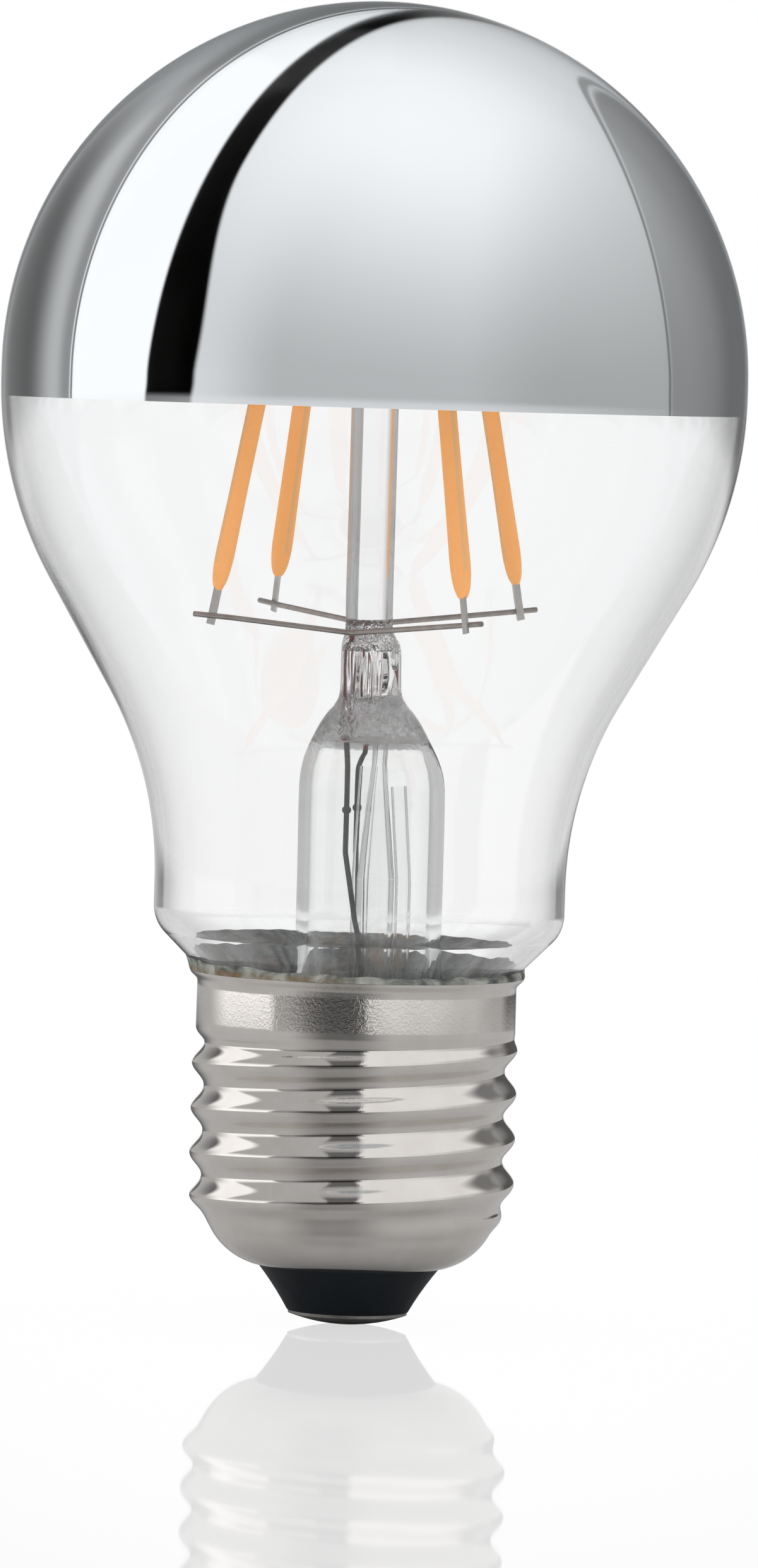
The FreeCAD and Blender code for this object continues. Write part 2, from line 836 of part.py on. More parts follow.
half_width = size("press_width") / 2
half_thickness = size("press_thickness") / 2
dome_outside = lofted("dome_outside", press_sections([
    (dome_start, size("flare_tube_radius"), size("flare_tube_radius"), 0),
    (dome_start + size("dome_shoulder_rise") * 0.4, size("flare_tube_radius"),
     size("flare_tube_radius"), 0),
    (dome_shoulder, size("dome_shoulder_radius"), size("dome_shoulder_radius"), 0),
    (press_bottom, half_width * 1.06, half_thickness * 1.3, 0.8),
    (press_top - size("press_flat_length"), half_width, half_thickness, 1),
    (press_top, half_width, half_thickness, 1),
]))
hollow_rise = size("dome_hollow_rise")
dome_inside = lofted("dome_inside", press_sections([
    (dome_start, flare_bore, flare_bore, 0),
    (dome_start + hollow_rise * 0.3, flare_bore, flare_bore, 0),
    (dome_start + hollow_rise * 0.65, flare_bore * 0.86, flare_bore * 0.8, 0),
    (dome_start + hollow_rise * 0.88, flare_bore * 0.64, flare_bore * 0.48, 0.2),
    (hollow_top, flare_bore * 0.4, flare_bore * 0.16, 0.3),
]))
blow_bulge = ball(
    "blow_bulge", size("blow_bulge_radius"), x=size("blow_bulge_offset"),
    z=bulge_height)
outward_turn = FreeCAD.Rotation(Vector(0, 1, 0), 90)
blow_hole = cylinder(
    "blow_hole", size("blow_hole_radius"), size("press_width"),
    x=size("exhaust_offset"), z=bulge_height, rotation=outward_turn)
exhaust_way = cylinder(
    "exhaust_way", size("exhaust_throat_radius"),
    bulge_height - dome_start, x=size("exhaust_offset"), z=dome_start)
press_solid = together("press_solid", [dome_outside, blow_bulge])
press_hollow = together("press_hollow", [dome_inside, exhaust_way, blow_hole] + seal_wires)
press = without("press", press_solid, press_hollow)
keep(together("stem_flare", [flare_tube, press]), "stem_flare")

# Translucent sleeves, open at both ends, that stand in the flare tube

for side in ("left", "right"):
    top = Vector(
        number_of(f"sleeve_{side}_top_x"), number_of(f"sleeve_{side}_top_y"),
        dome_start.number + number_of(f"sleeve_{side}_rise"))
    foot = Vector(number_of(f"sleeve_{side}_foot_x"), number_of(f"sleeve_{side}_foot_y"), 0)
    points = [
        top,
        foot + Vector(0, 0, dome_start.number - number_of("sleeve_bow_drop")),
        foot + Vector(0, 0, number_of("board_top_height") + number_of("sleeve_stand")),
    ]
    bend = number_of("sleeve_bend_radius")
    outside = round_wire(points, number_of("sleeve_radius"), bend)
    inside = round_wire(points, number_of("sleeve_radius") - number_of("sleeve_wall"), bend)
    keep(shaped(f"lead_sleeve_{side}", outside.cut(inside)), f"lead_sleeve_{side}")

# Screw shell: one rolled sheet, so its wall follows the thread inside and out


def ease(part):
    part = min(max(part, 0.0), 1.0)
    return part * part * (3 - 2 * part)


curve_drop = number_of("shell_curve_height") - number_of("shell_bottom_height")
curve_centre_radius = number_of("shell_opening_radius") - math.sqrt(
    number_of("shell_curve_radius") ** 2 - curve_drop ** 2)
thread_mean = (number_of("thread_crest_radius") + number_of("thread_root_radius")) / 2
thread_depth = (number_of("thread_crest_radius") - number_of("thread_root_radius")) / 2
thread_top = number_of("skirt_top_height") - number_of("skirt_length")
thread_fade = thread_top - number_of("thread_lead_out")
PROFILES_PER_TURN = 12
POINTS_PER_PITCH = 6


def bottom_curve_radius(height, inset):
    """Radius of the shell's rounded bottom at a height, moved inward by inset."""
    drop = max(number_of("shell_curve_height") - height, 0.0)
    return curve_centre_radius + math.sqrt(
        (number_of("shell_curve_radius") - inset) ** 2 - drop ** 2)


def thread_radius(height, turn):
    """Radius of the shell's outside at a height, a part of a turn round from +X."""
    lead_in = ease((height - number_of("thread_start_height")) / number_of("thread_lead_in"))
    lead_out = ease((height - thread_fade) / number_of("thread_lead_out"))
    bottom = bottom_curve_radius(height, 0.0)
    mean = bottom + (thread_mean - bottom) * lead_in
    mean += (number_of("skirt_radius") - thread_mean) * lead_out
    wave = math.cos(2 * math.pi * (
        (height - number_of("thread_crest_height")) / number_of("thread_pitch") - turn))
    return mean + thread_depth * lead_in * (1 - lead_out) * wave


def wall_inset(height, turn):
    """How far in the inside lies, so that the wall has its thickness square to itself."""
    nudge = 0.01
    slope = (
        thread_radius(height + nudge, turn) - thread_radius(height - nudge, turn)) / (2 * nudge)
    return number_of("shell_wall") * math.sqrt(1 + slope ** 2)


def shell_profile(turn):
    """The closed section of the shell's wall in one half-plane through the axis."""

    def at(radius, height):
        return polar(radius, 360 * turn, height)

    steps = round(
        POINTS_PER_PITCH * (thread_top - number_of("thread_start_height"))
        / number_of("thread_pitch"))
    heights = [
        number_of("thread_start_height")
        + (thread_top - number_of("thread_start_height")) * step / steps
        for step in range(steps + 1)]
    outside = [at(thread_radius(height, turn), height) for height in heights]
    inside = [
        at(thread_radius(height, turn) - wall_inset(height, turn), height) for height in heights]
    spacing = [float(step) for step in range(steps + 1)]
    curves = []
    for row in (outside, inside):
        curve = Part.BSplineCurve()
        curve.interpolate(Points=row, Parameters=spacing)
        curves.append(curve.toShape())
    wall = number_of("shell_wall")
    inner_share = (number_of("shell_curve_radius") - wall) / number_of("shell_curve_radius")
    opening_outside = at(number_of("shell_opening_radius"), number_of("shell_bottom_height"))
    opening_inside = at(
        curve_centre_radius
        + (number_of("shell_opening_radius") - curve_centre_radius) * inner_share,
        number_of("shell_curve_height") - curve_drop * inner_share)
    halfway = (number_of("shell_bottom_height") + number_of("thread_start_height")) / 2
    bottom_outside = Part.Arc(
        opening_outside, at(bottom_curve_radius(halfway, 0.0), halfway), outside[0])
    bottom_inside = Part.Arc(
        inside[0], at(bottom_curve_radius(halfway, wall), halfway), opening_inside)
    skirt_radius = number_of("skirt_radius")
    skirt_top = number_of("skirt_top_height")
    lip_top = skirt_top + number_of("lip_height")
    lip_radius = skirt_radius + number_of("lip_flare")
    corners = [
        outside[-1], at(skirt_radius, skirt_top), at(lip_radius, lip_top),
        at(lip_radius - wall, lip_top), at(skirt_radius - wall, skirt_top), inside[-1]]
    skirt_and_lip = [
        Part.LineSegment(first, last).toShape() for first, last in zip(corners, corners[1:])]
    bottom_edge = Part.LineSegment(opening_inside, opening_outside)
    edges = [bottom_outside.toShape(), curves[0]] + skirt_and_lip
    edges += [curves[1], bottom_inside.toShape(), bottom_edge.toShape()]
    return Part.Wire(Part.__sortEdges__(edges))


profiles = [shell_profile(number / PROFILES_PER_TURN) for number in range(PROFILES_PER_TURN)]
shell_shape = Part.makeLoft(profiles, True, False, True)
screw_shell = keep(shaped("screw_shell", shell_shape), "screw_shell")

# Centre contact: a domed head on a hollow pin

contact_edge = (size("contact_radius"), size("contact_dome_height"))
dome_radius = (
    (size("contact_radius") * size("contact_radius")
     + size("contact_dome_height") * size("contact_dome_height"))
    / (size("contact_dome_height") * 2))
bore_bottom = size("insulator_bottom_height") + size("contact_head_depth")
keep(turned("centre_contact", closed(
    [arc((ZERO, ZERO), contact_edge, dome_radius, (ZERO, dome_radius))],
    through(
        contact_edge,
        (size("contact_radius"), size("insulator_bottom_height")),
        (size("contact_pin_radius"), size("insulator_bottom_height")),
        (size("contact_pin_radius"), size("contact_pin_height")),
        (size("contact_bore_radius"), size("contact_pin_height")),
        (size("contact_bore_radius"), bore_bottom),
        (ZERO, bore_bottom)))), "centre_contact")

# Insulator: a cone below the shell, and a seat that follows the shell's rounded bottom

gap = size("seat_gap")
shell_curve = size("shell_curve_radius")
shell_drop = size("shell_curve_height") - size("shell_bottom_height")
shell_centre = (
    size("shell_opening_radius") - leg(shell_curve, shell_drop), size("shell_curve_height"))
seat_curve = shell_curve - size("shell_wall") - gap
seat_start = (
    shell_centre[0] + (size("shell_opening_radius") - shell_centre[0]) * seat_curve / shell_curve,
    shell_centre[1] - shell_drop * seat_curve / shell_curve)
seat_end = (
    shell_centre[0] + leg(seat_curve, shell_centre[1] - size("insulator_top_height")),
    size("insulator_top_height"))
flank_top = (size("shell_opening_radius") - gap, size("shell_bottom_height"))
flank_foot = (size("insulator_bottom_radius"), size("insulator_bottom_height"))
pin_hole = size("contact_pin_radius") + gap
dish_height = size("insulator_top_height") - size("insulator_dish_depth")


def hollow_centre(start, end, radius):
    """The centre of an arc that bows in between two points, seen from outside."""
    across = flat(end) - flat(start)
    middle = (flat(end) + flat(start)) / 2
    outward = Vector(across.y, -across.x, 0).normalize()
    centre = middle + outward * math.sqrt(radius.number ** 2 - (across.Length / 2) ** 2)
    return (as_length(centre.x), as_length(centre.y))


keep(turned("cap_insulator", closed(
    through((pin_hole, size("insulator_bottom_height")), flank_foot),
    [arc(flank_foot, flank_top, size("insulator_flank_radius"),
         hollow_centre(flank_foot, flank_top, size("insulator_flank_radius")))],
    through(flank_top, seat_start),
    [arc(seat_start, seat_end, seat_curve, shell_centre)],
    through(
        seat_end,
        (size("insulator_dish_radius"), dish_height),
        (pin_hole, dish_height)))), "cap_insulator")

# Cement between the glass and the shell, with a bead that shows above the lip

cement_glass = tail_run(-gap)
tail_line = cement_glass[-1]
throat_arc = cement_glass[-2]
bead_glass = (
    throat_arc[0][0] + size("cement_bead_rise") * tangent(size("shoulder_angle")),
    throat_arc[0][1] + size("cement_bead_rise"))
shell_bore = size("skirt_radius") - size("shell_wall") - gap
lip_top_height = size("skirt_top_height") + size("lip_height")
lip_bore = shell_bore + size("lip_flare")
bead_foot = size("skirt_radius") + size("lip_flare") + size("cement_bead_lip")
cement_bottom = size("skirt_top_height") - size("cement_depth")
keep(turned("cap_cement", closed(
    through(
        (tail_line[0][0], cement_bottom),
        (shell_bore, cement_bottom),
        (shell_bore, size("skirt_top_height")),
        (lip_bore, lip_top_height),
        (lip_bore, lip_top_height + gap),
        (bead_foot, lip_top_height + gap),
        bead_glass,
        throat_arc[0]),
    [throat_arc],
    through(tail_line[0], (tail_line[0][0], cement_bottom)))), "cap_cement")

# Driver: a round board with parts on both sides, and the leads to the cap

lead_radius = number_of("component_lead_radius")
board_top = number_of("board_top_height")
under_board = board_bottom.number - number_of("component_clearance")


def side_lead(start, reach):
    """A lead that leaves a part along X and turns up to the board's top."""
    knee = start + Vector(reach, 0, 0)
    return round_wire([start, knee, Vector(knee.x, knee.y, board_top)], lead_radius, 0.6)


capacitor_height = under_board - number_of("capacitor_radius")
capacitor_start = Vector(
    -number_of("capacitor_length") / 2, -number_of("capacitor_offset"), capacitor_height)
can = Part.makeCylinder(
    number_of("capacitor_radius"), number_of("capacitor_length"), capacitor_start,
    Vector(1, 0, 0))
crimp = Part.makeTorus(
    number_of("capacitor_radius") + number_of("capacitor_groove_depth"),
    number_of("capacitor_groove_depth") * 2,
    capacitor_start + Vector(number_of("capacitor_radius") / 2, 0, 0), Vector(1, 0, 0))
capacitor_shape = can.cut(crimp)
for aside in (-1, 1):
    lead_start = capacitor_start + Vector(0, aside * number_of("capacitor_lead_offset"), 0)
    capacitor_shape = capacitor_shape.fuse(side_lead(lead_start, -number_of("component_lead_reach")))
smoothing_capacitor = keep(shaped("smoothing_capacitor", capacitor_shape), "smoothing_capacitor")

resistor_height = under_board - number_of("resistor_radius")
resistor_half = number_of("resistor_length") / 2
cap_length = number_of("resistor_end_length")
resistor_middle = Vector(0, number_of("resistor_offset"), resistor_height)
resistor_shape = Part.makeCylinder(
    number_of("resistor_waist_radius"), 2 * resistor_half,
    resistor_middle - Vector(resistor_half, 0, 0), Vector(1, 0, 0))
for toward in (-1, 1):
    end_point = resistor_middle + Vector(toward * resistor_half, 0, 0)
    end_cap = Part.makeCylinder(
        number_of("resistor_radius"), cap_length, end_point, Vector(-toward, 0, 0))
    lead = side_lead(end_point, toward * number_of("component_lead_reach"))
    resistor_shape = resistor_shape.fuse([end_cap, lead])
fusible_resistor = keep(shaped("fusible_resistor", resistor_shape), "fusible_resistor")

live_place = Vector(number_of("live_place_x"), number_of("live_place_y"), 0)
live_lead = keep(shaped("live_lead", round_wire([
    Vector(0, 0, bore_bottom.number),
    Vector(0, 0, number_of("contact_pin_height") + number_of("live_rise")),
    live_place + Vector(0, 0, under_board - number_of("live_drop")),
    live_place + Vector(0, 0, board_top)],
    number_of("live_lead_radius"), number_of("live_bend_radius"))), "live_lead")

solder_centre = Vector(
    number_of("thread_root_radius") - number_of("shell_wall") - number_of("solder_depth"),
    number_of("solder_place_y"), number_of("solder_height"))
neutral_foot = Vector(number_of("neutral_place_x"), number_of("solder_place_y"), 0)
neutral_lead = keep(shaped("neutral_lead", round_wire([
    neutral_foot + Vector(0, 0, board_bottom.number),
    neutral_foot + Vector(0, 0, number_of("solder_height")),
    solder_centre],
    number_of("neutral_lead_radius"), number_of("live_bend_radius"))), "neutral_lead")
solder_drop = ball(
    "solder_drop", size("solder_radius"), x=as_length(solder_centre.x),
    y=size("solder_place_y"), z=size("solder_height"))
keep(without(
    "neutral_solder", solder_drop, together("solder_seat", [screw_shell, neutral_lead])),
    "neutral_solder")

board_blank = cylinder(
    "board_blank", size("board_radius"), size("board_thickness"), z=board_bottom)
board_wires = [smoothing_capacitor, fusible_resistor, live_lead, neutral_lead] + lead_outs
keep(without(
    "driver_board", board_blank, together("board_holes", board_wires)), "driver_board")


def package(name, length, place_y, legs, leg_pitch):
    """A moulded package with bent legs on two sides."""
    width = number_of("package_width")
    leg_width = number_of("package_leg_width")
    leg_reach = number_of("package_leg_reach")
    metal = number_of("package_leg_thickness")
    foot = board_top + number_of("package_standoff")
    centre = Vector(-number_of("package_place"), place_y, 0)
    shape = Part.makeBox(
        length, width, number_of("package_height"),
        centre + Vector(-length / 2, -width / 2, foot))
    knee = leg_reach * 0.45
    middle = foot + number_of("package_height") / 2
    for toward in (-1, 1):
        side = [
            (0, middle), (knee, middle), (knee, board_top + metal), (leg_reach, board_top + metal),
            (leg_reach, board_top), (knee - metal, board_top), (knee - metal, middle - metal),
            (0, middle - metal), (0, middle)]
        for number in range(legs):
            shift = (number - (legs - 1) / 2) * leg_pitch - leg_width / 2
            corners = [
                centre + Vector(toward * (length / 2 + reach), shift, height)
                for reach, height in side]
            leg_face = Part.Face(Part.makePolygon(corners))
            shape = shape.fuse(leg_face.extrude(Vector(0, leg_width, 0)))
    return keep(shaped(name, shape.removeSplitter()), name)


package("bridge_rectifier", number_of("rectifier_length"), -number_of("package_spread"), 2,
        number_of("rectifier_leg_pitch"))
package("driver_chip", number_of("chip_length"), number_of("package_spread"), 4,
        number_of("chip_leg_pitch"))

# Check everything, then write each sub-part under its name

document.recompute()
for item in document.Objects:
    if any(state in ("Invalid", "Error") for state in item.State):
        raise RuntimeError(f"{item.Name} failed: {item.State}")
for item in sub_parts:
    shape = item.Shape
    if shape.isNull() or not shape.isValid() or not shape.Solids:
        raise RuntimeError(f"{item.Label} has no valid solid")

os.makedirs("parts", exist_ok=True)
for item in sub_parts:
    item.Shape.exportStep(f"parts/{item.Label}.step")
    print(f"{item.Label}: {len(item.Shape.Solids)} solid, {item.Shape.Volume:.2f} mm3")
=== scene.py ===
import math

import bmesh
import bpy
from mathutils import Matrix, Vector
from mathutils import noise as ripple


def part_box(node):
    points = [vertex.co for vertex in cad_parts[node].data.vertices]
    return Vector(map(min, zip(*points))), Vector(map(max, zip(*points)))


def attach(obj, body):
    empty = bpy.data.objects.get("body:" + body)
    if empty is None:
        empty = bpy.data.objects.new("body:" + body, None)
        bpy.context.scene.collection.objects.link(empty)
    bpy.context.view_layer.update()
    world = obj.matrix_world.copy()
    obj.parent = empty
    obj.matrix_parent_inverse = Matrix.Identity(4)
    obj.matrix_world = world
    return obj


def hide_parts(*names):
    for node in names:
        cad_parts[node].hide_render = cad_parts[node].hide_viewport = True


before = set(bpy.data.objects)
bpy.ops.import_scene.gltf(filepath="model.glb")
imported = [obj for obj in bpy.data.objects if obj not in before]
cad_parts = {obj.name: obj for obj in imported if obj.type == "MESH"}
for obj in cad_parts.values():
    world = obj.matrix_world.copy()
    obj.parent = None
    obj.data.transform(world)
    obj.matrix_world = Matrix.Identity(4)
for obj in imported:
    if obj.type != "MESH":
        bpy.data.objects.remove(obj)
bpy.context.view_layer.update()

# Crown-mirrored filament lamp. Sizes are in millimetres and are turned into metres
# where a mesh or a place is made. +Z runs up the lamp's axis and the viewer stands at -Y.
MM = 0.001
TINY = 1e-6
scene = bpy.context.scene


def node_box(name):
    """Lowest and highest corner of a CAD node, in millimetres."""
    low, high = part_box(name)
    return low / MM, high / MM


# Node trees written as formulas


class Field:
    """A value or a vector in a node tree, with the operators of arithmetic."""

    def __init__(self, tree, socket):
        self.tree = tree
        self.socket = socket

    def math(self, operation, *others):
        return blend_math(self.tree, operation, self, *others)

    def __add__(self, other):
        return self.math("ADD", other)

    def __sub__(self, other):
        return self.math("SUBTRACT", other)

    def __mul__(self, other):
        return self.math("MULTIPLY", other)

    def __rsub__(self, other):
        return blend_math(self.tree, "SUBTRACT", other, self)

    __radd__ = __add__
    __rmul__ = __mul__

    def __truediv__(self, other):
        return self.math("DIVIDE", other)

    def power(self, exponent):
        return self.math("POWER", exponent)

    def size(self):
        return self.math("ABSOLUTE")

    def most(self, other):
        return self.math("MAXIMUM", other)

    def above(self, limit):
        return self.math("GREATER_THAN", limit)

    def rise(self, low, high):
        """0 below low, 1 above high and smooth between them."""
        node = self.tree.nodes.new("ShaderNodeMapRange")
        node.interpolation_type = "SMOOTHSTEP"
        join(self.tree, self, node.inputs["Value"])
        node.inputs["From Min"].default_value = low
        node.inputs["From Max"].default_value = high
        return Field(self.tree, node.outputs["Result"])

    def within(self, start, full, fade, end):
        """1 from full to fade, 0 outside start and end and smooth between them."""
        return self.rise(start, full) * (1 - self.rise(fade, end))

    def parts(self):
        """The fields of a vector's X, Y and Z."""
        node = self.tree.nodes.new("ShaderNodeSeparateXYZ")
        join(self.tree, self, node.inputs[0])
        return [Field(self.tree, output) for output in node.outputs]

    def along(self, direction):
        """The vector's length along a direction."""
        node = self.tree.nodes.new("ShaderNodeVectorMath")
        node.operation = "DOT_PRODUCT"
        join(self.tree, self, node.inputs[0])
        node.inputs[1].default_value = direction
        return Field(self.tree, node.outputs["Value"])

    def scaled(self, *factors):
        """The vector times one factor, or times one for each of X, Y and Z."""
        node = self.tree.nodes.new("ShaderNodeVectorMath")
        node.operation = "MULTIPLY"
        join(self.tree, self, node.inputs[0])
        node.inputs[1].default_value = factors if len(factors) > 1 else factors * 3
        return Field(self.tree, node.outputs["Vector"])


def join(tree, value, socket):
    """Links a field to a socket, or sets the socket to a plain value."""
    if isinstance(value, Field):
        tree.links.new(value.socket, socket)
    else:
        socket.default_value = value


def blend_math(tree, operation, *values):
    """The result of an operation on fields or plain values."""
    node = tree.nodes.new("ShaderNodeMath")
    node.operation = operation
    for value, socket in zip(values, node.inputs):
        join(tree, value, socket)
    return Field(tree, node.outputs["Value"])


def noise(place, scale, detail=3.0, roughness=0.55, distortion=0.0):
    """Smooth random values from 0 to 1. The scale is in bumps per millimetre."""
    node = place.tree.nodes.new("ShaderNodeTexNoise")
    join(place.tree, place, node.inputs["Vector"])
    node.inputs["Scale"].default_value = scale
    node.inputs["Detail"].default_value = detail
    node.inputs["Roughness"].default_value = roughness
    node.inputs["Distortion"].default_value = distortion
    return Field(place.tree, node.outputs["Fac"])


def crossfade(share, first, second):
    """A value that goes from the first to the second as the share goes from 0 to 1."""
    return (1 - share) * first + share * second


def mixed(share, first, second):
    """A colour that goes from the first to the second as the share goes from 0 to 1."""
    tree = share.tree
    node = tree.nodes.new("ShaderNodeMix")
    node.data_type = "RGBA"
    join(tree, share, node.inputs["Factor"])
    for value, socket in ((first, node.inputs["A"]), (second, node.inputs["B"])):
        join(tree, value if isinstance(value, Field) else (*value, 1.0), socket)
    return Field(tree, node.outputs["Result"])


def blended(tree, share, first, second):
    """A shader that goes from the first to the second as the share goes from 0 to 1."""
    node = tree.nodes.new("ShaderNodeMixShader")
    join(tree, share, node.inputs[0])
    tree.links.new(first.outputs[0], node.inputs[1])
    tree.links.new(second.outputs[0], node.inputs[2])
    return node


def srgb(red, green, blue):
    """A colour as a screen shows it, from 0 to 255, turned into linear light."""
    return tuple(
        part / 12.92 if part <= 0.04045 else ((part + 0.055) / 1.055) ** 2.4
        for part in (red / 255, green / 255, blue / 255))


class Finish:
    """A material under a name, with its place in the lamp in millimetres."""

    def __init__(self, name, **settings):
        self.material = bpy.data.materials.new(name)
        self.material.use_nodes = True
        self.tree = self.material.node_tree
        self.shader = self.tree.nodes["Principled BSDF"]
        for socket, value in settings.items():
            self.set(socket.replace("_", " "), value)
        coordinates = self.tree.nodes.new("ShaderNodeTexCoord")
        self.place = Field(self.tree, coordinates.outputs["Object"]).scaled(1 / MM)

    def set(self, socket, value):
        """Gives a socket of the shader a field, a number or a colour."""
        if isinstance(value, tuple):
            value = (*value, 1.0)
        join(self.tree, value, self.shader.inputs[socket])

    def bump(self, height, depth):
        """Raises the surface by height, of which 1 is as deep as depth, in millimetres."""
        node = self.tree.nodes.new("ShaderNodeBump")
        node.inputs["Distance"].default_value = depth * MM
        join(self.tree, height, node.inputs["Height"])
        self.tree.links.new(node.outputs["Normal"], self.shader.inputs["Normal"])

    def slant(self):
        """0 where the surface faces the ray and 1 where the ray only grazes it."""
        node = self.tree.nodes.new("ShaderNodeLayerWeight")
        node.inputs["Blend"].default_value = 0.5
        return Field(self.tree, node.outputs["Facing"])


# Meshes


def turn_outward(mesh, inward=False):
    """Turns a closed mesh's faces outward, or inward for the wall of a cavity."""
    skin = bmesh.new()
    skin.from_mesh(mesh)
    bmesh.ops.recalc_face_normals(skin, faces=skin.faces)
    if inward:
        bmesh.ops.reverse_faces(skin, faces=skin.faces)
    skin.to_mesh(mesh)
    skin.free()


def add_cavity(mesh, points, faces):
    """Adds the wall of an air bubble to a solid mesh."""
    bubble = bpy.data.meshes.new("bubble")
    bubble.from_pydata([Vector(point) * MM for point in points], [], faces)
    turn_outward(bubble, inward=True)
    skin = bmesh.new()
    skin.from_mesh(mesh)
    skin.from_mesh(bubble)
    skin.to_mesh(mesh)
    skin.free()
    bpy.data.meshes.remove(bubble)


def mesh_piece(name, points, faces, sharp_angle=35.0, cavities=()):
    """A smooth-shaded piece from points in millimetres, with creases kept sharp."""
    mesh = bpy.data.meshes.new(name)
    mesh.from_pydata([Vector(point) * MM for point in points], [], faces)
    turn_outward(mesh)
    for cavity in cavities:
        add_cavity(mesh, *cavity)
    mesh.shade_smooth()
    mesh.set_sharp_from_angle(angle=math.radians(sharp_angle))
    piece = bpy.data.objects.new(name, mesh)
    scene.collection.objects.link(piece)
    return piece


def swept_ring(rows):
    """Faces between the rows of a grid whose first and last rows meet too."""
    count = len(rows)
    faces = []
    for index in range(count):
        row = rows[index]
        following = rows[(index + 1) % count]
        if len(row) == 1 and len(following) == 1:
            continue
        span = max(len(row), len(following))
        for step in range(span):
            after = (step + 1) % span
            corners = [
                row[step % len(row)], row[after % len(row)],
                following[after % len(following)], following[step % len(following)]]
            face = []
            for corner in corners:
                if corner not in face:
                    face.append(corner)
            faces.append(face)
    return faces


def gathered(rings):
    """The points of all rings in one list, and the numbers of each ring's points."""
    points = []
    rows = []
    for ring in rings:
        rows.append(range(len(points), len(points) + len(ring)))
        points += ring
    return points, rows


def turns(count):
    """Angles in even steps round a full turn."""
    return [2 * math.pi * step / count for step in range(count)]


def round_axis(radius, angle, height):
    return radius * math.cos(angle), radius * math.sin(angle), height


def revolved(name, outline, segments):
    """A solid of revolution from a closed outline of (radius, height) points."""
    rings = [
        [round_axis(radius, angle, height) for angle in turns(segments if radius > TINY else 1)]
        for radius, height in outline]
    points, rows = gathered(rings)
    return mesh_piece(name, points, swept_ring(rows))


def arc(centre, radius, start, end, steps):
    """Points on an arc, with its angles in degrees."""
    points = []
    for step in range(steps + 1):
        angle = math.radians(start + (end - start) * step / steps)
        points.append((
            centre[0] + radius * math.cos(angle), centre[1] + radius * math.sin(angle)))
    return points


def steps_between(start, end, count):
    """Even steps from the start, without the end."""
    return [start + (end - start) * step / count for step in range(count)]


def ease(part):
    """Goes smoothly from 0 to 1 and stays there."""
    part = min(max(part, 0.0), 1.0)
    return part * part * (3 - 2 * part)


def dress(piece, finish):
    """Gives a new piece its finish and its body."""
    piece.data.materials.append(finish.material)
    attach(piece, "root")
    return piece


def paint(finish, *nodes):
    """Gives CAD nodes a finish in place of their plain material."""
    for node in nodes:
        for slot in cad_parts[node].material_slots:
            slot.material = finish.material


# Envelope, from its globe down to the tail inside the cap. Sizes that a CAD node shows
# come from that node.

ENVELOPE_LOW, ENVELOPE_HIGH = node_box("glass_envelope")
MIRROR_LOW, MIRROR_HIGH = node_box("crown_mirror")
GLOBE_RADIUS = ENVELOPE_HIGH.x
GLOBE_CENTRE = (0.0, ENVELOPE_HIGH.z - GLOBE_RADIUS)
GLASS_WALL = GLOBE_RADIUS - MIRROR_HIGH.x
BAND_WIDTH = 0.9
BAND_BOTTOM = GLOBE_CENTRE[1] - BAND_WIDTH
FLANK_RADIUS = 32.0
FLANK_ANGLE = 30.0
FLANK_CENTRE = (GLOBE_RADIUS - FLANK_RADIUS, BAND_BOTTOM)
WAIST_RADIUS = 30.0
NECK_RADIUS = 16.55
SHOULDER_HEIGHT = 33.5
SHOULDER_RADIUS = 3.2
SHOULDER_ANGLE = 45.0
THROAT_RADIUS = 3.0
TAIL_RADIUS = 11.4
THROAT_START = (12.279, 27.903)
MIRROR_THICKNESS = 0.08
MIRROR_BOND = 0.01
GLASS_SEGMENTS = 256
GLOBE_STEPS = 60
FLANK_STEPS = 20
SHOULDER_STEPS = 12
THROAT_STEPS = 10
RIM_STEPS = 4


def envelope_side(inset):
    """The envelope's side from its top to the end of its tail, moved inward by inset."""
    flank_turn = math.radians(FLANK_ANGLE)
    shoulder_turn = math.radians(SHOULDER_ANGLE)
    flank_end = (
        FLANK_CENTRE[0] + FLANK_RADIUS * math.cos(flank_turn),
        FLANK_CENTRE[1] - FLANK_RADIUS * math.sin(flank_turn))
    waist_start = NECK_RADIUS + WAIST_RADIUS * (1 - math.cos(flank_turn))
    waist_top = flank_end[1] - (flank_end[0] - waist_start) / math.tan(flank_turn)
    waist_centre = (
        NECK_RADIUS + WAIST_RADIUS,
        waist_top - WAIST_RADIUS * math.sin(flank_turn))
    shoulder_centre = (NECK_RADIUS - SHOULDER_RADIUS, SHOULDER_HEIGHT)
    throat_centre = (
        TAIL_RADIUS + THROAT_RADIUS,
        THROAT_START[1] - THROAT_RADIUS * math.sin(shoulder_turn))
    side = arc(GLOBE_CENTRE, GLOBE_RADIUS - inset, 90, 0, GLOBE_STEPS)
    side += arc(FLANK_CENTRE, FLANK_RADIUS - inset, 0, -FLANK_ANGLE, FLANK_STEPS)
    side += arc(waist_centre, WAIST_RADIUS + inset, 180 - FLANK_ANGLE, 180, FLANK_STEPS)
    side += arc(shoulder_centre, SHOULDER_RADIUS - inset, 0, -SHOULDER_ANGLE, SHOULDER_STEPS)
    side += arc(throat_centre, THROAT_RADIUS + inset, 180 - SHOULDER_ANGLE, 180, THROAT_STEPS)
    side.append((TAIL_RADIUS - inset, ENVELOPE_LOW.z))
    return side


def build_envelope(finish):
    """The blown glass, with an even wall."""
    outline = envelope_side(0.0) + envelope_side(GLASS_WALL)[::-1]
    piece = revolved("blown_envelope", outline, GLASS_SEGMENTS)
    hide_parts("glass_envelope")
    return dress(piece, finish)


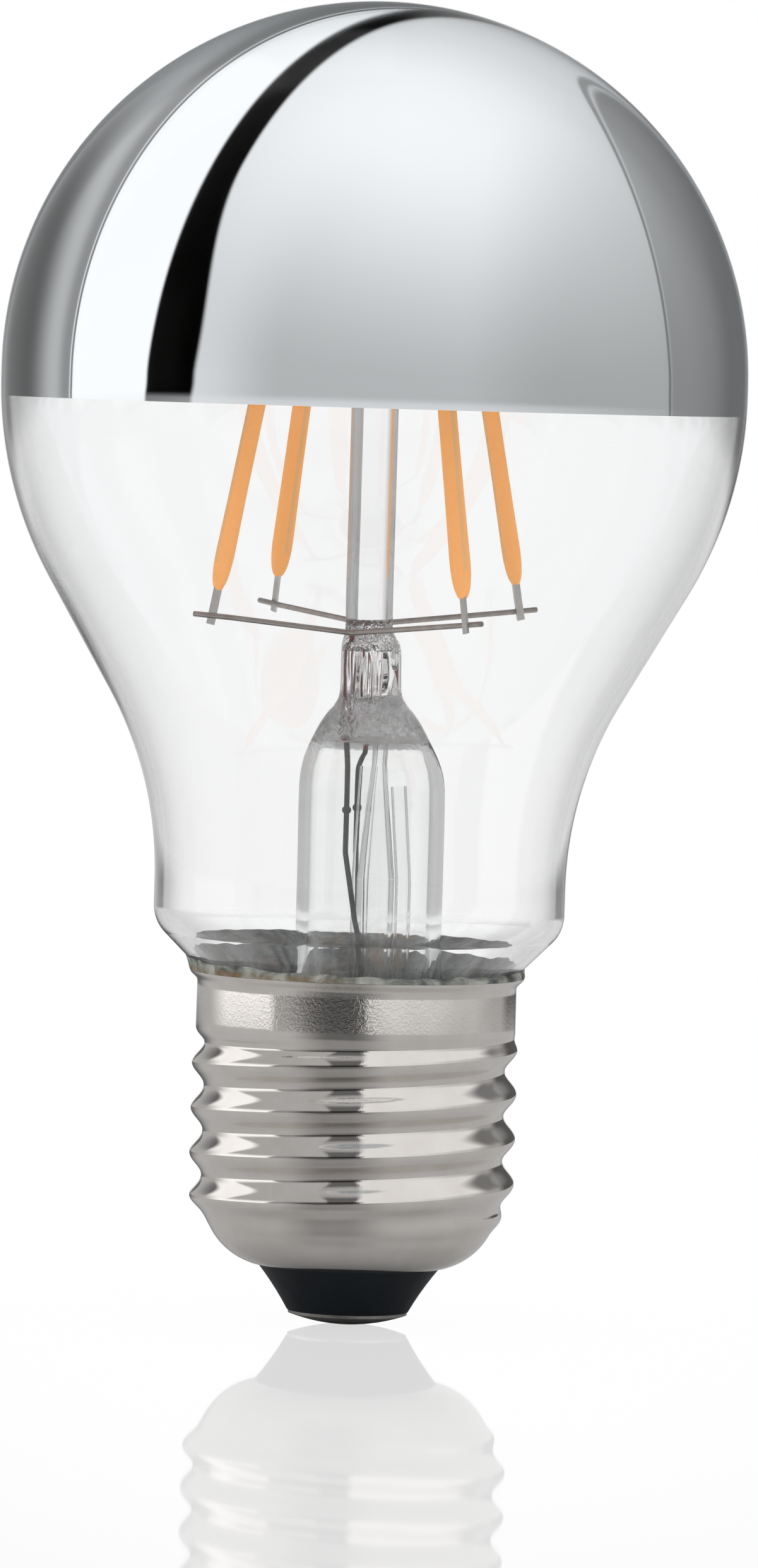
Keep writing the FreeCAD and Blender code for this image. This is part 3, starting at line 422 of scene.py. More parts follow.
def build_mirror(finish):
    """The silvering, bonded into the glass by a hair so that no air lies between them."""
    glass_inside = GLOBE_RADIUS - GLASS_WALL
    outline = []
    for radius in (glass_inside + MIRROR_BOND, glass_inside - MIRROR_THICKNESS):
        flank_radius = FLANK_RADIUS - (GLOBE_RADIUS - radius)
        rim_angle = math.degrees(math.asin((MIRROR_LOW.z - FLANK_CENTRE[1]) / flank_radius))
        side = arc(GLOBE_CENTRE, radius, 90, 0, GLOBE_STEPS)
        side += arc(FLANK_CENTRE, flank_radius, 0, rim_angle, RIM_STEPS)
        outline += side if not outline else side[::-1]
    piece = revolved("crown_silvering", outline, GLASS_SEGMENTS)
    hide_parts("crown_mirror")
    return dress(piece, finish)


# Stem, with the column melted onto its press

COLUMN_HIGH = node_box("support_column")[1]
COLUMN_RADIUS = 1.9
COLUMN_FOOT = 57.0
BUTTON_RADIUS = 2.9
BUTTON_HEIGHT = COLUMN_HIGH.z - BUTTON_RADIUS
STEM_TURN = math.radians(-14.0)
DOME_FOOT = 43.2
FLARE_CURVE = 11.7
FLARE_TOP = 30.97
FLARE_FOOT = ENVELOPE_LOW.z
TUBE_RADIUS = 5.875
TUBE_WALL = 0.9
TUBE_SHIFT = 0.8
# Height, shift along X, half thickness and half width
STEM_OUTSIDE = (
    (36.0, 0.8, 5.875, 5.875), (43.2, 0.75, 5.875, 5.875), (44.6, 0.7, 5.74, 5.74),
    (45.8, 0.62, 5.42, 5.42), (46.8, 0.56, 5.0, 5.05), (47.8, 0.52, 4.5, 4.75),
    (48.8, 0.5, 3.95, 4.55), (49.6, 0.48, 3.35, 4.45), (50.2, 0.45, 2.75, 4.4),
    (50.8, 0.42, 2.4, 4.35), (52.0, 0.4, 2.28, 4.3), (54.2, 0.36, 2.28, 4.25),
    (55.0, 0.3, 2.2, 3.9), (55.5, 0.22, 2.05, 3.0), (55.9, 0.16, 1.95, 2.2),
    (56.4, 0.12, 1.9, 1.9), (58.0, 0.1, 1.9, 1.9), (64.0, 0.1, 1.9, 1.9))
STEM_INSIDE = (
    (36.0, 0.8, 4.975, 4.975), (43.2, 0.75, 4.975, 4.975), (44.6, 0.7, 4.8, 4.75),
    (45.6, 0.64, 4.5, 4.4), (46.4, 0.6, 4.15, 4.0), (47.1, 0.56, 3.65, 3.5),
    (47.7, 0.52, 2.95, 2.8), (48.1, 0.5, 2.1, 1.9), (48.3, 0.5, 1.1, 1.0))
HOLLOW_TOP = 48.35
# Height and radius down the two air bubbles in the press
FUNNEL = (
    (52.7, 0.05), (52.2, 0.3), (51.6, 0.55), (50.9, 0.85), (50.2, 1.1), (49.8, 0.9),
    (49.7, 0.05))
BLOW_BUBBLE = (
    (55.1, 0.05), (55.0, 0.3), (54.6, 0.6), (54.0, 0.75), (53.4, 0.65), (53.0, 0.35),
    (52.9, 0.05))
BUBBLE_PLACE = (1.6, -0.3)
BUBBLE_SEGMENTS = 24
STEM_SEGMENTS = 96
BUTTON_STEPS = 24
COLUMN_STEPS = 12
PRESS_STEPS = 84
TUBE_STEPS = 8
FLARE_STEPS = 24
HOLLOW_STEPS = 40


def between(table, height):
    """Smooth values from a table whose first column is the height."""
    last = len(table) - 2
    index = 0
    while index < last and height > table[index + 1][0]:
        index += 1
    low, high = table[index], table[index + 1]
    span = high[0] - low[0]
    part = min(max((height - low[0]) / span, 0.0), 1.0)
    before = table[max(index - 1, 0)]
    after = table[min(index + 2, len(table) - 1)]
    values = []
    for column in range(1, len(low)):
        slope_low = (high[column] - before[column]) / (high[0] - before[0]) * span
        slope_high = (after[column] - low[column]) / (after[0] - low[0]) * span
        rise = high[column] - low[column]
        values.append(
            low[column] + slope_low * part
            + (3 * rise - 2 * slope_low - slope_high) * part ** 2
            + (slope_low + slope_high - 2 * rise) * part ** 3)
    return values


def stem_section(height, inside):
    """Shift, half thickness and half width of the stem's outside or inside."""
    table = STEM_INSIDE if inside else STEM_OUTSIDE
    if height < FLARE_TOP:
        curve = FLARE_CURVE + (TUBE_WALL if inside else 0.0)
        reach = TUBE_RADIUS + FLARE_CURVE - math.sqrt(curve ** 2 - (FLARE_TOP - height) ** 2)
        shift = TUBE_SHIFT * ease((height - FLARE_FOOT) / (FLARE_TOP - FLARE_FOOT))
        return shift, reach, reach
    if height < table[0][0]:
        return table[0][1:]
    if height > table[-1][0]:
        return table[-1][1:]
    return between(table, height)


def ellipse(centre_x, half_thickness, half_width, height, around):
    """Points of a level ellipse whose narrow side lies near X."""
    points = []
    for angle in turns(around):
        across = half_thickness * math.cos(angle)
        along = half_width * math.sin(angle)
        points.append((
            centre_x + across * math.cos(STEM_TURN) - along * math.sin(STEM_TURN),
            across * math.sin(STEM_TURN) + along * math.cos(STEM_TURN), height))
    return points


def stacked(sections, around):
    """Points and rows of a stack of ellipses, where no size stands for a single point."""
    return gathered([
        ellipse(shift, thickness, width, height, around) if thickness > TINY
        else [(shift, 0.0, height)]
        for height, shift, thickness, width in sections])


def air_bubble(table):
    """Points and faces of a bubble in the press, from its heights and radii."""
    rings = []
    for height, radius in table:
        ring = [round_axis(radius, angle, height) for angle in turns(BUBBLE_SEGMENTS)]
        rings.append([(BUBBLE_PLACE[0] + x, BUBBLE_PLACE[1] + y, z) for x, y, z in ring])
    points, rows = gathered(rings)
    faces = swept_ring(rows)[:-BUBBLE_SEGMENTS]
    faces += [list(rows[0]), list(rows[-1])]
    return points, faces


def button_sections(neck):
    """Sections of the melted button, down to its neck on the column."""
    shift = STEM_OUTSIDE[-1][1]
    sections = [(COLUMN_HIGH.z, shift, 0.0, 0.0)]
    for step in range(1, BUTTON_STEPS):
        angle = math.pi * step / BUTTON_STEPS
        radius = BUTTON_RADIUS * math.sin(angle)
        height = BUTTON_HEIGHT + BUTTON_RADIUS * math.cos(angle)
        if height > neck:
            sections.append((height, shift, radius, radius))
    return sections


def build_stem(finish):
    """Flare tube, dome, press, column and button as one piece of glass."""
    neck = BUTTON_HEIGHT - math.sqrt(BUTTON_RADIUS ** 2 - COLUMN_RADIUS ** 2)
    sections = button_sections(neck)
    heights = (
        steps_between(neck, COLUMN_FOOT, COLUMN_STEPS)
        + steps_between(COLUMN_FOOT, DOME_FOOT, PRESS_STEPS)
        + steps_between(DOME_FOOT, FLARE_TOP, TUBE_STEPS)
        + steps_between(FLARE_TOP, FLARE_FOOT, FLARE_STEPS) + [FLARE_FOOT])
    sections += [(height, *stem_section(height, False)) for height in heights]
    hollow_end = STEM_INSIDE[-1]
    heights = (
        steps_between(FLARE_FOOT, FLARE_TOP, FLARE_STEPS)
        + steps_between(FLARE_TOP, DOME_FOOT, TUBE_STEPS)
        + steps_between(DOME_FOOT, hollow_end[0], HOLLOW_STEPS) + [hollow_end[0]])
    sections += [(height, *stem_section(height, True)) for height in heights]
    sections.append((HOLLOW_TOP, hollow_end[1], 0.0, 0.0))
    points, rows = stacked(sections, STEM_SEGMENTS)
    piece = mesh_piece(
        "fused_stem", points, swept_ring(rows),
        cavities=(air_bubble(FUNNEL), air_bubble(BLOW_BUBBLE)))
    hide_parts("stem_flare", "support_column")
    return dress(piece, finish)


# Screw shell

SHELL_LOW, SHELL_HIGH = node_box("screw_shell")
SHELL_WALL = 0.3
THREAD_PITCH = 3.63
THREAD_CREST = 13.1
THREAD_ROOT = 12.1
THREAD_CREST_HEIGHT = 22.6
THREAD_START = 7.5
THREAD_LEAD_IN = 3.0
THREAD_END = 23.9
THREAD_LEAD_OUT = 1.6
SKIRT_RADIUS = 12.87
LIP_HEIGHT = 0.8
LIP_FLARE = 0.6
SKIRT_TOP = SHELL_HIGH.z - LIP_HEIGHT
OPENING_RADIUS = 7.35
CURVE_RADIUS = 5.48
CURVE_HEIGHT = 10.1
CURVE_DROP = CURVE_HEIGHT - SHELL_LOW.z
CURVE_CENTRE = OPENING_RADIUS - math.sqrt(CURVE_RADIUS ** 2 - CURVE_DROP ** 2)
SLOPE_REACH = 0.01
SLOPE_SQUARE_LIMIT = 2.0
CAP_SEGMENTS = 240
BOWL_STEPS = 14
THREAD_STEPS = 118
SKIRT_STEPS = 8
LIP_STEPS = 8


def shell_radius(height, turn):
    """Radius of the shell's outside at a height, a part of a turn round from +X."""
    lead_in = ease((height - THREAD_START) / THREAD_LEAD_IN)
    lead_out = ease((height - THREAD_END + THREAD_LEAD_OUT) / THREAD_LEAD_OUT)
    drop = max(CURVE_HEIGHT - height, 0.0)
    bottom = CURVE_CENTRE + math.sqrt(CURVE_RADIUS ** 2 - drop ** 2)
    mean = (THREAD_CREST + THREAD_ROOT) / 2
    depth = (THREAD_CREST - THREAD_ROOT) / 2
    radius = bottom + (mean - bottom) * lead_in
    radius += (SKIRT_RADIUS - mean) * lead_out
    wave = math.cos(2 * math.pi * ((height - THREAD_CREST_HEIGHT) / THREAD_PITCH - turn))
    radius += depth * lead_in * (1 - lead_out) * wave
    lip_part = ease((height - SKIRT_TOP) / LIP_HEIGHT)
    return radius + LIP_FLARE * lip_part


def shell_bore(height, turn):
    """Radius of the shell's inside, one wall in from the outside's slope."""
    above = shell_radius(min(height + SLOPE_REACH, SHELL_HIGH.z), turn)
    below = shell_radius(max(height - SLOPE_REACH, SHELL_LOW.z), turn)
    slope = (above - below) / (2 * SLOPE_REACH)
    wall = SHELL_WALL * math.sqrt(1 + min(slope ** 2, SLOPE_SQUARE_LIMIT))
    return shell_radius(height, turn) - wall


def shell_ring(radius_at, height):
    ring = []
    for step in range(CAP_SEGMENTS):
        turn = step / CAP_SEGMENTS
        ring.append(round_axis(radius_at(height, turn), 2 * math.pi * turn, height))
    return ring


def build_shell(finish):
    """The rolled sheet, with the thread's wave inside and out."""
    heights = (
        steps_between(SHELL_LOW.z, THREAD_START, BOWL_STEPS)
        + steps_between(THREAD_START, THREAD_END, THREAD_STEPS)
        + steps_between(THREAD_END, SKIRT_TOP, SKIRT_STEPS)
        + steps_between(SKIRT_TOP, SHELL_HIGH.z, LIP_STEPS) + [SHELL_HIGH.z])
    rings = [shell_ring(shell_radius, height) for height in heights]
    rings += [shell_ring(shell_bore, height) for height in heights[::-1]]
    points, rows = gathered(rings)
    piece = mesh_piece("rolled_shell", points, swept_ring(rows))
    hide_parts("screw_shell")
    return dress(piece, finish)


# Cement, squeezed up between the lip and the glass

CEMENT_LOW, CEMENT_HIGH = node_box("cap_cement")
CEMENT_GAP = 0.02
CEMENT_BORE = SKIRT_RADIUS - SHELL_WALL - CEMENT_GAP
BEAD_LOW = 28.75
BEAD_RISE = 0.9
BEAD_RAGGED = 0.3
BEAD_HIGH_SIDE = math.radians(125.0)
BEAD_FOOT = CEMENT_HIGH.x - 0.24
BEAD_SWELL = 0.12
BEAD_EDGE = 0.2
COARSE_BUMPS = 3.0
FINE_BUMPS = 9.0
FINE_SHARE = 0.6
SWELL_BUMPS = 5.0
THROAT_DROP = 2.1
CEMENT_CREASE = 60.0


def bead_top(angle):
    """Height of the bead's ragged edge, which is highest behind on the left."""
    place = Vector(round_axis(1.0, angle, 0.0))
    ragged = ripple.noise(place * COARSE_BUMPS) + FINE_SHARE * ripple.noise(place * FINE_BUMPS)
    turn = 0.5 + 0.5 * math.cos(angle - BEAD_HIGH_SIDE)
    return BEAD_LOW + BEAD_RISE * turn + BEAD_RAGGED * ragged


def cement_profile(angle):
    """The ring's closed section, as (radius, height) points."""
    tail = TAIL_RADIUS + CEMENT_GAP
    lip_bore = CEMENT_BORE + LIP_FLARE
    lip_top = SHELL_HIGH.z
    top = bead_top(angle)
    cone = THROAT_START[0] + (top - THROAT_START[1]) + CEMENT_GAP
    swell = BEAD_SWELL * (1 + ripple.noise(Vector(round_axis(1.0, angle, 1.0)) * SWELL_BUMPS))
    foot = BEAD_FOOT + swell
    return (
        (tail, CEMENT_LOW.z), (CEMENT_BORE, CEMENT_LOW.z), (CEMENT_BORE, SKIRT_TOP),
        (lip_bore, lip_top), (lip_bore, lip_top + CEMENT_GAP), (foot, lip_top + CEMENT_GAP),
        (max(foot, cone - BEAD_EDGE), (lip_top + top) / 2), (cone, top),
        (THROAT_START[0] + CEMENT_GAP, THROAT_START[1]), (tail, THROAT_START[1] - THROAT_DROP))


def build_cement(finish):
    """A ring under the glass shoulder whose bead has a ragged upper edge."""
    angles = turns(CAP_SEGMENTS)
    rings = [
        [round_axis(radius, angle, height) for (radius, height), angle in zip(corners, angles)]
        for corners in zip(*(cement_profile(angle) for angle in angles))]
    points, rows = gathered(rings)
    piece = mesh_piece("cement_ring", points, swept_ring(rows), CEMENT_CREASE)
    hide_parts("cap_cement")
    return dress(piece, finish)


# Finishes. Ranges of height, x and y are in millimetres.

GLASS_IOR = 1.5
STEM_IOR = 1.54
SLEEVE_IOR = 1.2
# Painted glow of the filament coats and their strips, though the lamp is off.
PHOSPHOR_GLOW = 0.38
STRIP_GLOW = 0.8
SUBSURFACE_REACH = (0.001, 0.0006, 0.0003)


def clear_glass():
    """The envelope's glass, which leaves the mirror under it without a second shine."""
    finish = Finish("clear_glass", Roughness=0.0, IOR=GLASS_IOR, Transmission_Weight=1.0)
    edge_shade = finish.slant()
    # Painted shade: the base colour turns grey where the ray grazes the glass, to draw its dark
    # outline.
    finish.set("Base Color", mixed(
        edge_shade.rise(0.45, 1.0), (0.98, 0.981, 0.981), (0.84, 0.85, 0.85)))
    height = finish.place.parts()[2]
    over_mirror = height.rise(MIRROR_LOW.z - 0.2, MIRROR_LOW.z)
    finish.set("Specular Tint", mixed(over_mirror, (1, 1, 1), (0, 0, 0)))
    finish.bump(noise(finish.place, 0.05, detail=1.0), 0.05)
    return finish


def stem_glass():
    """Glass with drawn ridges in the press, a mottled dome and lumps where it melted."""
    finish = Finish(
        "stem_glass", Base_Color=(0.985, 0.99, 0.988), Roughness=0.0, IOR=STEM_IOR,
        Transmission_Weight=1.0)
    x, _, height = finish.place.parts()
    press = height.within(49.6, 50.6, 55.6, 56.2) * (1 - x.rise(0.5, 1.3))
    ridges = noise(finish.place.scaled(1.0, 1.0, 0.1), 0.9, detail=2.0, distortion=0.3)
    dome = height.within(47.2, 48.4, 50.2, 51.0)
    mottle = noise(finish.place, 1.7, detail=5.0, distortion=0.8)
    melt = height.within(54.4, 55.2, 56.4, 57.0)
    lumps = noise(finish.place, 1.6, detail=2.0, distortion=0.5)
    finish.bump(ridges * press * 1.4 + mottle * dome * 1.8 + lumps * melt * 1.4, 0.55)
    return finish


def shaded_at_edges(finish, dark):
    """Thin-walled clear stuff with painted shade: its colour turns dark where the ray grazes,
    to draw its outline.
    """
    edge_shade = finish.slant().rise(0.3, 0.95)
    finish.set("Base Color", mixed(edge_shade, (0.985, 0.99, 0.99), dark))


def tube_glass():
    finish = Finish("tube_glass", Roughness=0.0, IOR=GLASS_IOR, Transmission_Weight=1.0)
    # Painted shade along the tube's outline.
    shaded_at_edges(finish, (0.5, 0.52, 0.54))
    finish.bump(noise(finish.place, 0.3, detail=1.0), 0.05)
    return finish


def sleeve_plastic():
    finish = Finish(
        "sleeve_plastic", Roughness=0.08, IOR=SLEEVE_IOR, Transmission_Weight=1.0)
    # Painted shade along the sleeves' outline.
    shaded_at_edges(finish, (0.55, 0.56, 0.57))
    finish.bump(noise(finish.place, 1.5), 0.02)
    return finish


def silvering():
    """A mirror with a little haze."""
    finish = Finish("silvering", Base_Color=(0.935, 0.965, 0.985), Metallic=1.0)
    haze = noise(finish.place, 0.08, detail=2.0)
    finish.set("Roughness", haze * 0.03 + 0.01)
    return finish


def phosphor():
    """The coat of a filament, which lets some light in, with a painted glow that makes it look
    bright on all sides though the lamp is off.
    """
    finish = Finish("phosphor", Roughness=0.6, Subsurface_Weight=0.15)
    finish.shader.inputs["Subsurface Radius"].default_value = SUBSURFACE_REACH
    grains = noise(finish.place, 6.0, detail=3.0)
    warm = mixed(grains, srgb(255, 180, 98), srgb(254, 168, 84))
    finish.set("Base Color", warm)
    # Painted glow in the coat's colour.
    finish.set("Emission Color", warm)
    finish.set("Emission Strength", PHOSPHOR_GLOW)
    finish.bump(grains, 0.03)
    return finish


def metal(name, bright, dull, roughness, scale=1.5):
    """Metal whose colour and gloss drift from bright to dull."""
    finish = Finish(name, Metallic=1.0)
    drift = noise(finish.place, scale, detail=5.0)
    finish.set("Base Color", mixed(drift, bright, dull))
    finish.set("Roughness", drift * roughness * 0.6 + roughness * 0.7)
    finish.bump(noise(finish.place, scale * 8, detail=2.0), 0.01)
    return finish


def nickel():
    """Rolled nickel-plated sheet, finely pitted on the front of the plain skirt."""
    finish = Finish("shell_metal", Metallic=1.0)
    x, y, height = finish.place.parts()
    drift = noise(finish.place, 0.35, detail=4.0)
    finish.set("Base Color", mixed(drift, srgb(242, 239, 236), srgb(222, 216, 210)))
    finish.set("Roughness", drift * 0.03 + 0.03)
    pits = noise(finish.place, 4.0, detail=2.0, roughness=0.7).rise(0.42, 0.62)
    plain = height.rise(24.0, 24.8) * 0.8 + 0.1
    spoiled = x.within(-8.0, -5.0, 0.5, 2.5) * (1 - y.rise(-4.0, 0.0))
    finish.bump(pits * plain * (spoiled * 0.85 + 0.15), 0.005)
    return finish


def plastic(name, light, dark, roughness):
    """Moulded or painted stuff with a little mottling."""
    finish = Finish(name)
    drift = noise(finish.place, 2.0, detail=4.0)
    finish.set("Base Color", mixed(drift, light, dark))
    finish.set("Roughness", drift * 0.15 + roughness)
    finish.bump(noise(finish.place, 12.0, detail=2.0), 0.01)
    return finish


def strip_base():
    """The strip, given a painted glow like its coat's, so that it doesn't show dark beside the
    coat that it carries.
    """
    light, dark = srgb(240, 186, 118), srgb(226, 168, 100)
    finish = plastic("strip_base", light, dark, 0.5)
    # Painted glow in the strip's light colour.
    finish.set("Emission Color", light)
    finish.set("Emission Strength", PHOSPHOR_GLOW * STRIP_GLOW)
    return finish


def cement():
    """Crumbly grey with a little rust low on the left."""
    finish = Finish("cement_grey", Roughness=0.85)
    coarse = noise(finish.place, 0.5, detail=6.0, distortion=0.6)
    x, _, height = finish.place.parts()
    grey = mixed(coarse.rise(0.3, 0.7), srgb(176, 178, 170), srgb(72, 76, 74))
    low_left = (1 - height.rise(28.5, 28.9)) * (1 - x.rise(-6.0, 2.0))
    rust = low_left * coarse.rise(0.3, 0.6) * 0.8
    finish.set("Base Color", mixed(rust, grey, srgb(124, 100, 62)))
    finish.bump(coarse, 0.4)
    return finish


def insulator():
    finish = Finish("insulator_black", Specular_IOR_Level=0.25)
    drift = noise(finish.place, 0.6, detail=4.0)
    finish.set("Base Color", mixed(drift, srgb(15, 24, 32), srgb(8, 13, 19)))
    finish.set("Roughness", drift * 0.2 + 0.4)
    finish.bump(drift, 0.05)
    return finish


# The world shows a pale backdrop to the camera and through glass, gives even light to
# matt surfaces, and shows a studio of softboxes in what mirrors. Directions are unit
# vectors, so the ranges below are parts of one, and a brightness of 1 is white.

HIGHLIGHT = Vector((0.15, -0.08, 0.985)).normalized()
ENVELOPE_SURFACES = 4
INNER_LIGHT = 1.25
DEEP_LEVEL = 0.55
EVEN_LIGHT = (-0.35, -0.35, 0.87)
STRIPE_AXIS = (-0.824, 0.554, 0.123)
STRIPE_OFFSET = 0.515
LEFT_EDGE_AXIS = (-0.549, 0.835, 0.037)
LEFT_EDGE_OFFSET = 0.788
RIGHT_EDGE_AXIS = (0.688, 0.722, 0.072)
RIGHT_EDGE_OFFSET = 0.851
LEFT_OF_STRIPE = 1.04
LINE_SHIFT = 0.004
LINE_EDGE = (0.003, 0.008)
SOFTBOX_EDGE = 0.012
STRIPE_EDGE = 0.01
FLOOR_IN_MIRROR = 0.85
TABLE_IN_METAL = 0.5
COLUMN_PLACE = -0.12
COLUMN_DEPTH = 0.7


def main_softbox(direction, stripe_distance):
    """The large softbox, brightest overhead and towards the stripe."""
    x, _, z = direction.parts()
    overhead = direction.along(HIGHLIGHT).most(0.0).power(1.6) * 0.5 + 0.48
    beside_stripe = stripe_distance.rise(-0.62, -0.12) * (1 - z.most(0.0) * 0.9)
    return overhead * (1 - x.rise(0.4, 0.9) * 0.2) + beside_stripe * 0.22


def dark_line(distance):
    """The thin dark frame at the edge of a softbox."""
    return 1 - (distance + LINE_SHIFT).size().rise(*LINE_EDGE)


def dark_stripe(y, stripe_distance):
    """The gap between the softboxes, which bends towards the viewer."""
    toward_viewer = (y * -1 - 0.1).most(0.0)
    from_right = stripe_distance + toward_viewer * toward_viewer * 0.5 + 0.022
    from_left = y * -0.095 + 0.113 - stripe_distance
    return (
        from_right.rise(-STRIPE_EDGE, STRIPE_EDGE) * from_left.rise(-STRIPE_EDGE, STRIPE_EDGE))


def studio(direction):
    """Brightness of the studio that the silvering mirrors."""
    _, y, z = direction.parts()
    stripe_distance = direction.along(STRIPE_AXIS) - STRIPE_OFFSET
    light = crossfade(
        stripe_distance.rise(0.0, 0.03), main_softbox(direction, stripe_distance),
        LEFT_OF_STRIPE)
    beyond_left = direction.along(LEFT_EDGE_AXIS) - LEFT_EDGE_OFFSET
    left_fall = beyond_left.rise(0.1, 0.205) * 0.85
    left_side = (beyond_left.rise(0.03, 0.09) * 0.2 + 0.25) * (1 - left_fall)
    light = crossfade(beyond_left.rise(0.0, SOFTBOX_EDGE), light, left_side)
    beyond_right = direction.along(RIGHT_EDGE_AXIS) - RIGHT_EDGE_OFFSET
    right_drop = y.rise(0.4, 0.97) * 0.35 + 0.36
    light = light * (1 - beyond_right.rise(0.0, SOFTBOX_EDGE) * right_drop)
    light = light * (1 - dark_line(beyond_left) * 0.85)
    light = light * (1 - dark_line(beyond_right) * 0.6)
    light = light * (1 - dark_stripe(y, stripe_distance))
    light = crossfade(1 - z.rise(-0.12, -0.04), light, FLOOR_IN_MIRROR)
    backdrop = y.rise(0.985, 0.998)
    return crossfade(backdrop, light, 1.0)


def cap_walls(x, y):
    """The room level with the cap: a softbox on the left and a pale wall on the right."""
    softbox = y.rise(-0.52, -0.42)
    front = 0.3 - x.rise(-0.8, -0.5) * 0.24
    left = crossfade(softbox, front, 1.2 - y.rise(0.25, 0.7) * 0.75)
    right = 0.84 - y.rise(-0.9, 0.0) * 0.24
    right = right - y.rise(0.0, 0.5) * 0.2 - y.rise(0.6, 0.8) * 0.3
    return crossfade(x.rise(0.08, 0.16), left, right)


def cap_ceiling(x, y):
    """What the thread's upper slopes mirror."""
    left = y.rise(0.2, 0.3) * 0.65 + 0.46 - y.rise(0.62, 0.72)
    right = 0.86 - y.rise(0.25, 0.5) * 0.66 + y.rise(0.65, 0.75) * 0.15
    return crossfade(x.rise(0.0, 0.06), left, right)


def cap_studio(direction):
    """Brightness of the room that the bare cap mirrors."""
    x, y, z = direction.parts()
    light = crossfade(z.rise(0.15, 0.5), cap_walls(x, y), cap_ceiling(x, y))
    column = 1 - (x - COLUMN_PLACE).size().rise(0.14, 0.2)
    column = column * z.within(-0.1, 0.1, 0.8, 0.97)
    light = light * (1 - column * COLUMN_DEPTH)
    light = crossfade(1 - z.rise(-0.12, -0.06), light, TABLE_IN_METAL)
    return crossfade(y.rise(0.98, 0.995), light, 1.0)


def bright_field(direction):
    """What the inner glass bends into view: the lit backdrop between darker walls."""
    x, _, z = direction.parts()
    walls = x.rise(0.34, 0.37) * 0.64 + (x * -1).rise(0.34, 0.66) * 0.58
    return 1 - walls * z.within(-0.22, -0.16, 0.5, 0.7)


def ray_facts(tree):
    """Fields for what the light path knows of a ray, by the names of its outputs."""
    path = tree.nodes.new("ShaderNodeLightPath")
    return {output.name: Field(tree, output) for output in path.outputs}


def world_strength(tree):
    """Brightness of the world for each kind of ray."""
    coordinates = tree.nodes.new("ShaderNodeTexCoord")
    direction = Field(tree, coordinates.outputs["Generated"])
    ray = ray_facts(tree)
    through = ray["Is Transmission Ray"]
    mirrored = ray["Glossy Depth"].above(0.5)
    from_matt = ray["Diffuse Depth"].above(0.5)
    behind_glass = ray["Transmission Depth"].above(0.5)
    deep = ray["Transmission Depth"].above(ENVELOPE_SURFACES + 0.5)
    silver_pattern = studio(direction).most(deep * DEEP_LEVEL)
    pattern = crossfade(behind_glass, cap_studio(direction), silver_pattern)
    clear = crossfade(deep, 1.0, bright_field(direction))
    clear = crossfade(from_matt, clear, INNER_LIGHT)
    even = direction.along(EVEN_LIGHT) * 0.22 + 0.9
    pattern_share = ray["Is Glossy Ray"].most(through) * mirrored
    strength = crossfade(pattern_share, even, pattern)
    clear_share = ray["Is Camera Ray"].most(through * (1 - mirrored))
    return crossfade(clear_share, strength, clear)


def build_world():
    world = bpy.data.worlds.new("studio")
    scene.world = world
    world.use_nodes = True
    tree = world.node_tree
    tree.nodes.clear()
    background = tree.nodes.new("ShaderNodeBackground")
    background.inputs["Color"].default_value = (1, 1, 1, 1)
    join(tree, world_strength(tree), background.inputs["Strength"])
    output = tree.nodes.new("ShaderNodeOutputWorld")
    tree.links.new(background.outputs[0], output.inputs["Surface"])


# Floor: a pale table with the lamp's shadow and a faint reflection. It fades out far off.

FLOOR_RADIUS = 440.0
FLOOR_STEP = 5
FADE_START = FLOOR_RADIUS * 0.64
FADE_END = FLOOR_RADIUS * 0.98
FLOOR_SHEEN = 0.3
SHEEN_ROUGHNESS = 0.03
FLOOR_GLOW = 0.96
# Painted shade of the table under the cap, as metal mirrors it.
TABLE_UNDER_CAP = 0.5


def table_light_and_shade(place, distance):
    """Painted light and shade of the table as bare metal mirrors it: lit on both sides, dark in
    front, and a set grey under the cap.
    """
    side = place.parts()[0] / distance
    lit = 1 - side.rise(-0.8, -0.3) + side.rise(-0.05, 0.5)
    near = crossfade(distance.rise(12.0, 17.0), TABLE_UNDER_CAP, lit * 0.22 + 0.33)
    return crossfade(distance.rise(25.0, 90.0), near, lit * 0.35 + 0.14)


def floor_finish():
    finish = Finish("pale_floor")
    tree = finish.tree
    tree.nodes.remove(finish.shader)
    ray = ray_facts(tree)
    in_metal = ray["Is Glossy Ray"] * (1 - ray["Is Transmission Ray"])
    length = tree.nodes.new("ShaderNodeVectorMath")
    length.operation = "LENGTH"
    join(tree, finish.place, length.inputs[0])
    distance = Field(tree, length.outputs["Value"])
    diffuse = tree.nodes.new("ShaderNodeBsdfDiffuse")
    # In metal the floor shows painted light and shade in place of white.
    tone = mixed(in_metal, (1, 1, 1), table_light_and_shade(finish.place, distance))
    join(tree, tone, diffuse.inputs["Color"])
    glow = tree.nodes.new("ShaderNodeEmission")
    gloss = tree.nodes.new("ShaderNodeBsdfGlossy")
    gloss.inputs["Color"].default_value = (1, 1, 1, 1)
    gloss.inputs["Roughness"].default_value = SHEEN_ROUGHNESS
    clear = tree.nodes.new("ShaderNodeBsdfTransparent")
    veil = blended(tree, ray["Is Camera Ray"] * FLOOR_GLOW, diffuse, glow)
    sheen = blended(tree, (1 - in_metal) * FLOOR_SHEEN, veil, gloss)
    faded = blended(tree, distance.rise(FADE_START, FADE_END), sheen, clear)
    tree.links.new(faded.outputs[0], tree.nodes["Material Output"].inputs["Surface"])
    return finish


def build_floor():
    rim = [
        round_axis(FLOOR_RADIUS, math.radians(angle), 0.0)
        for angle in range(0, 360, FLOOR_STEP)]
    floor = mesh_piece("pale_floor", rim, [range(len(rim))])
    floor.data.materials.append(floor_finish().material)


# Camera: it looks a little down on the cap from the photograph's distance

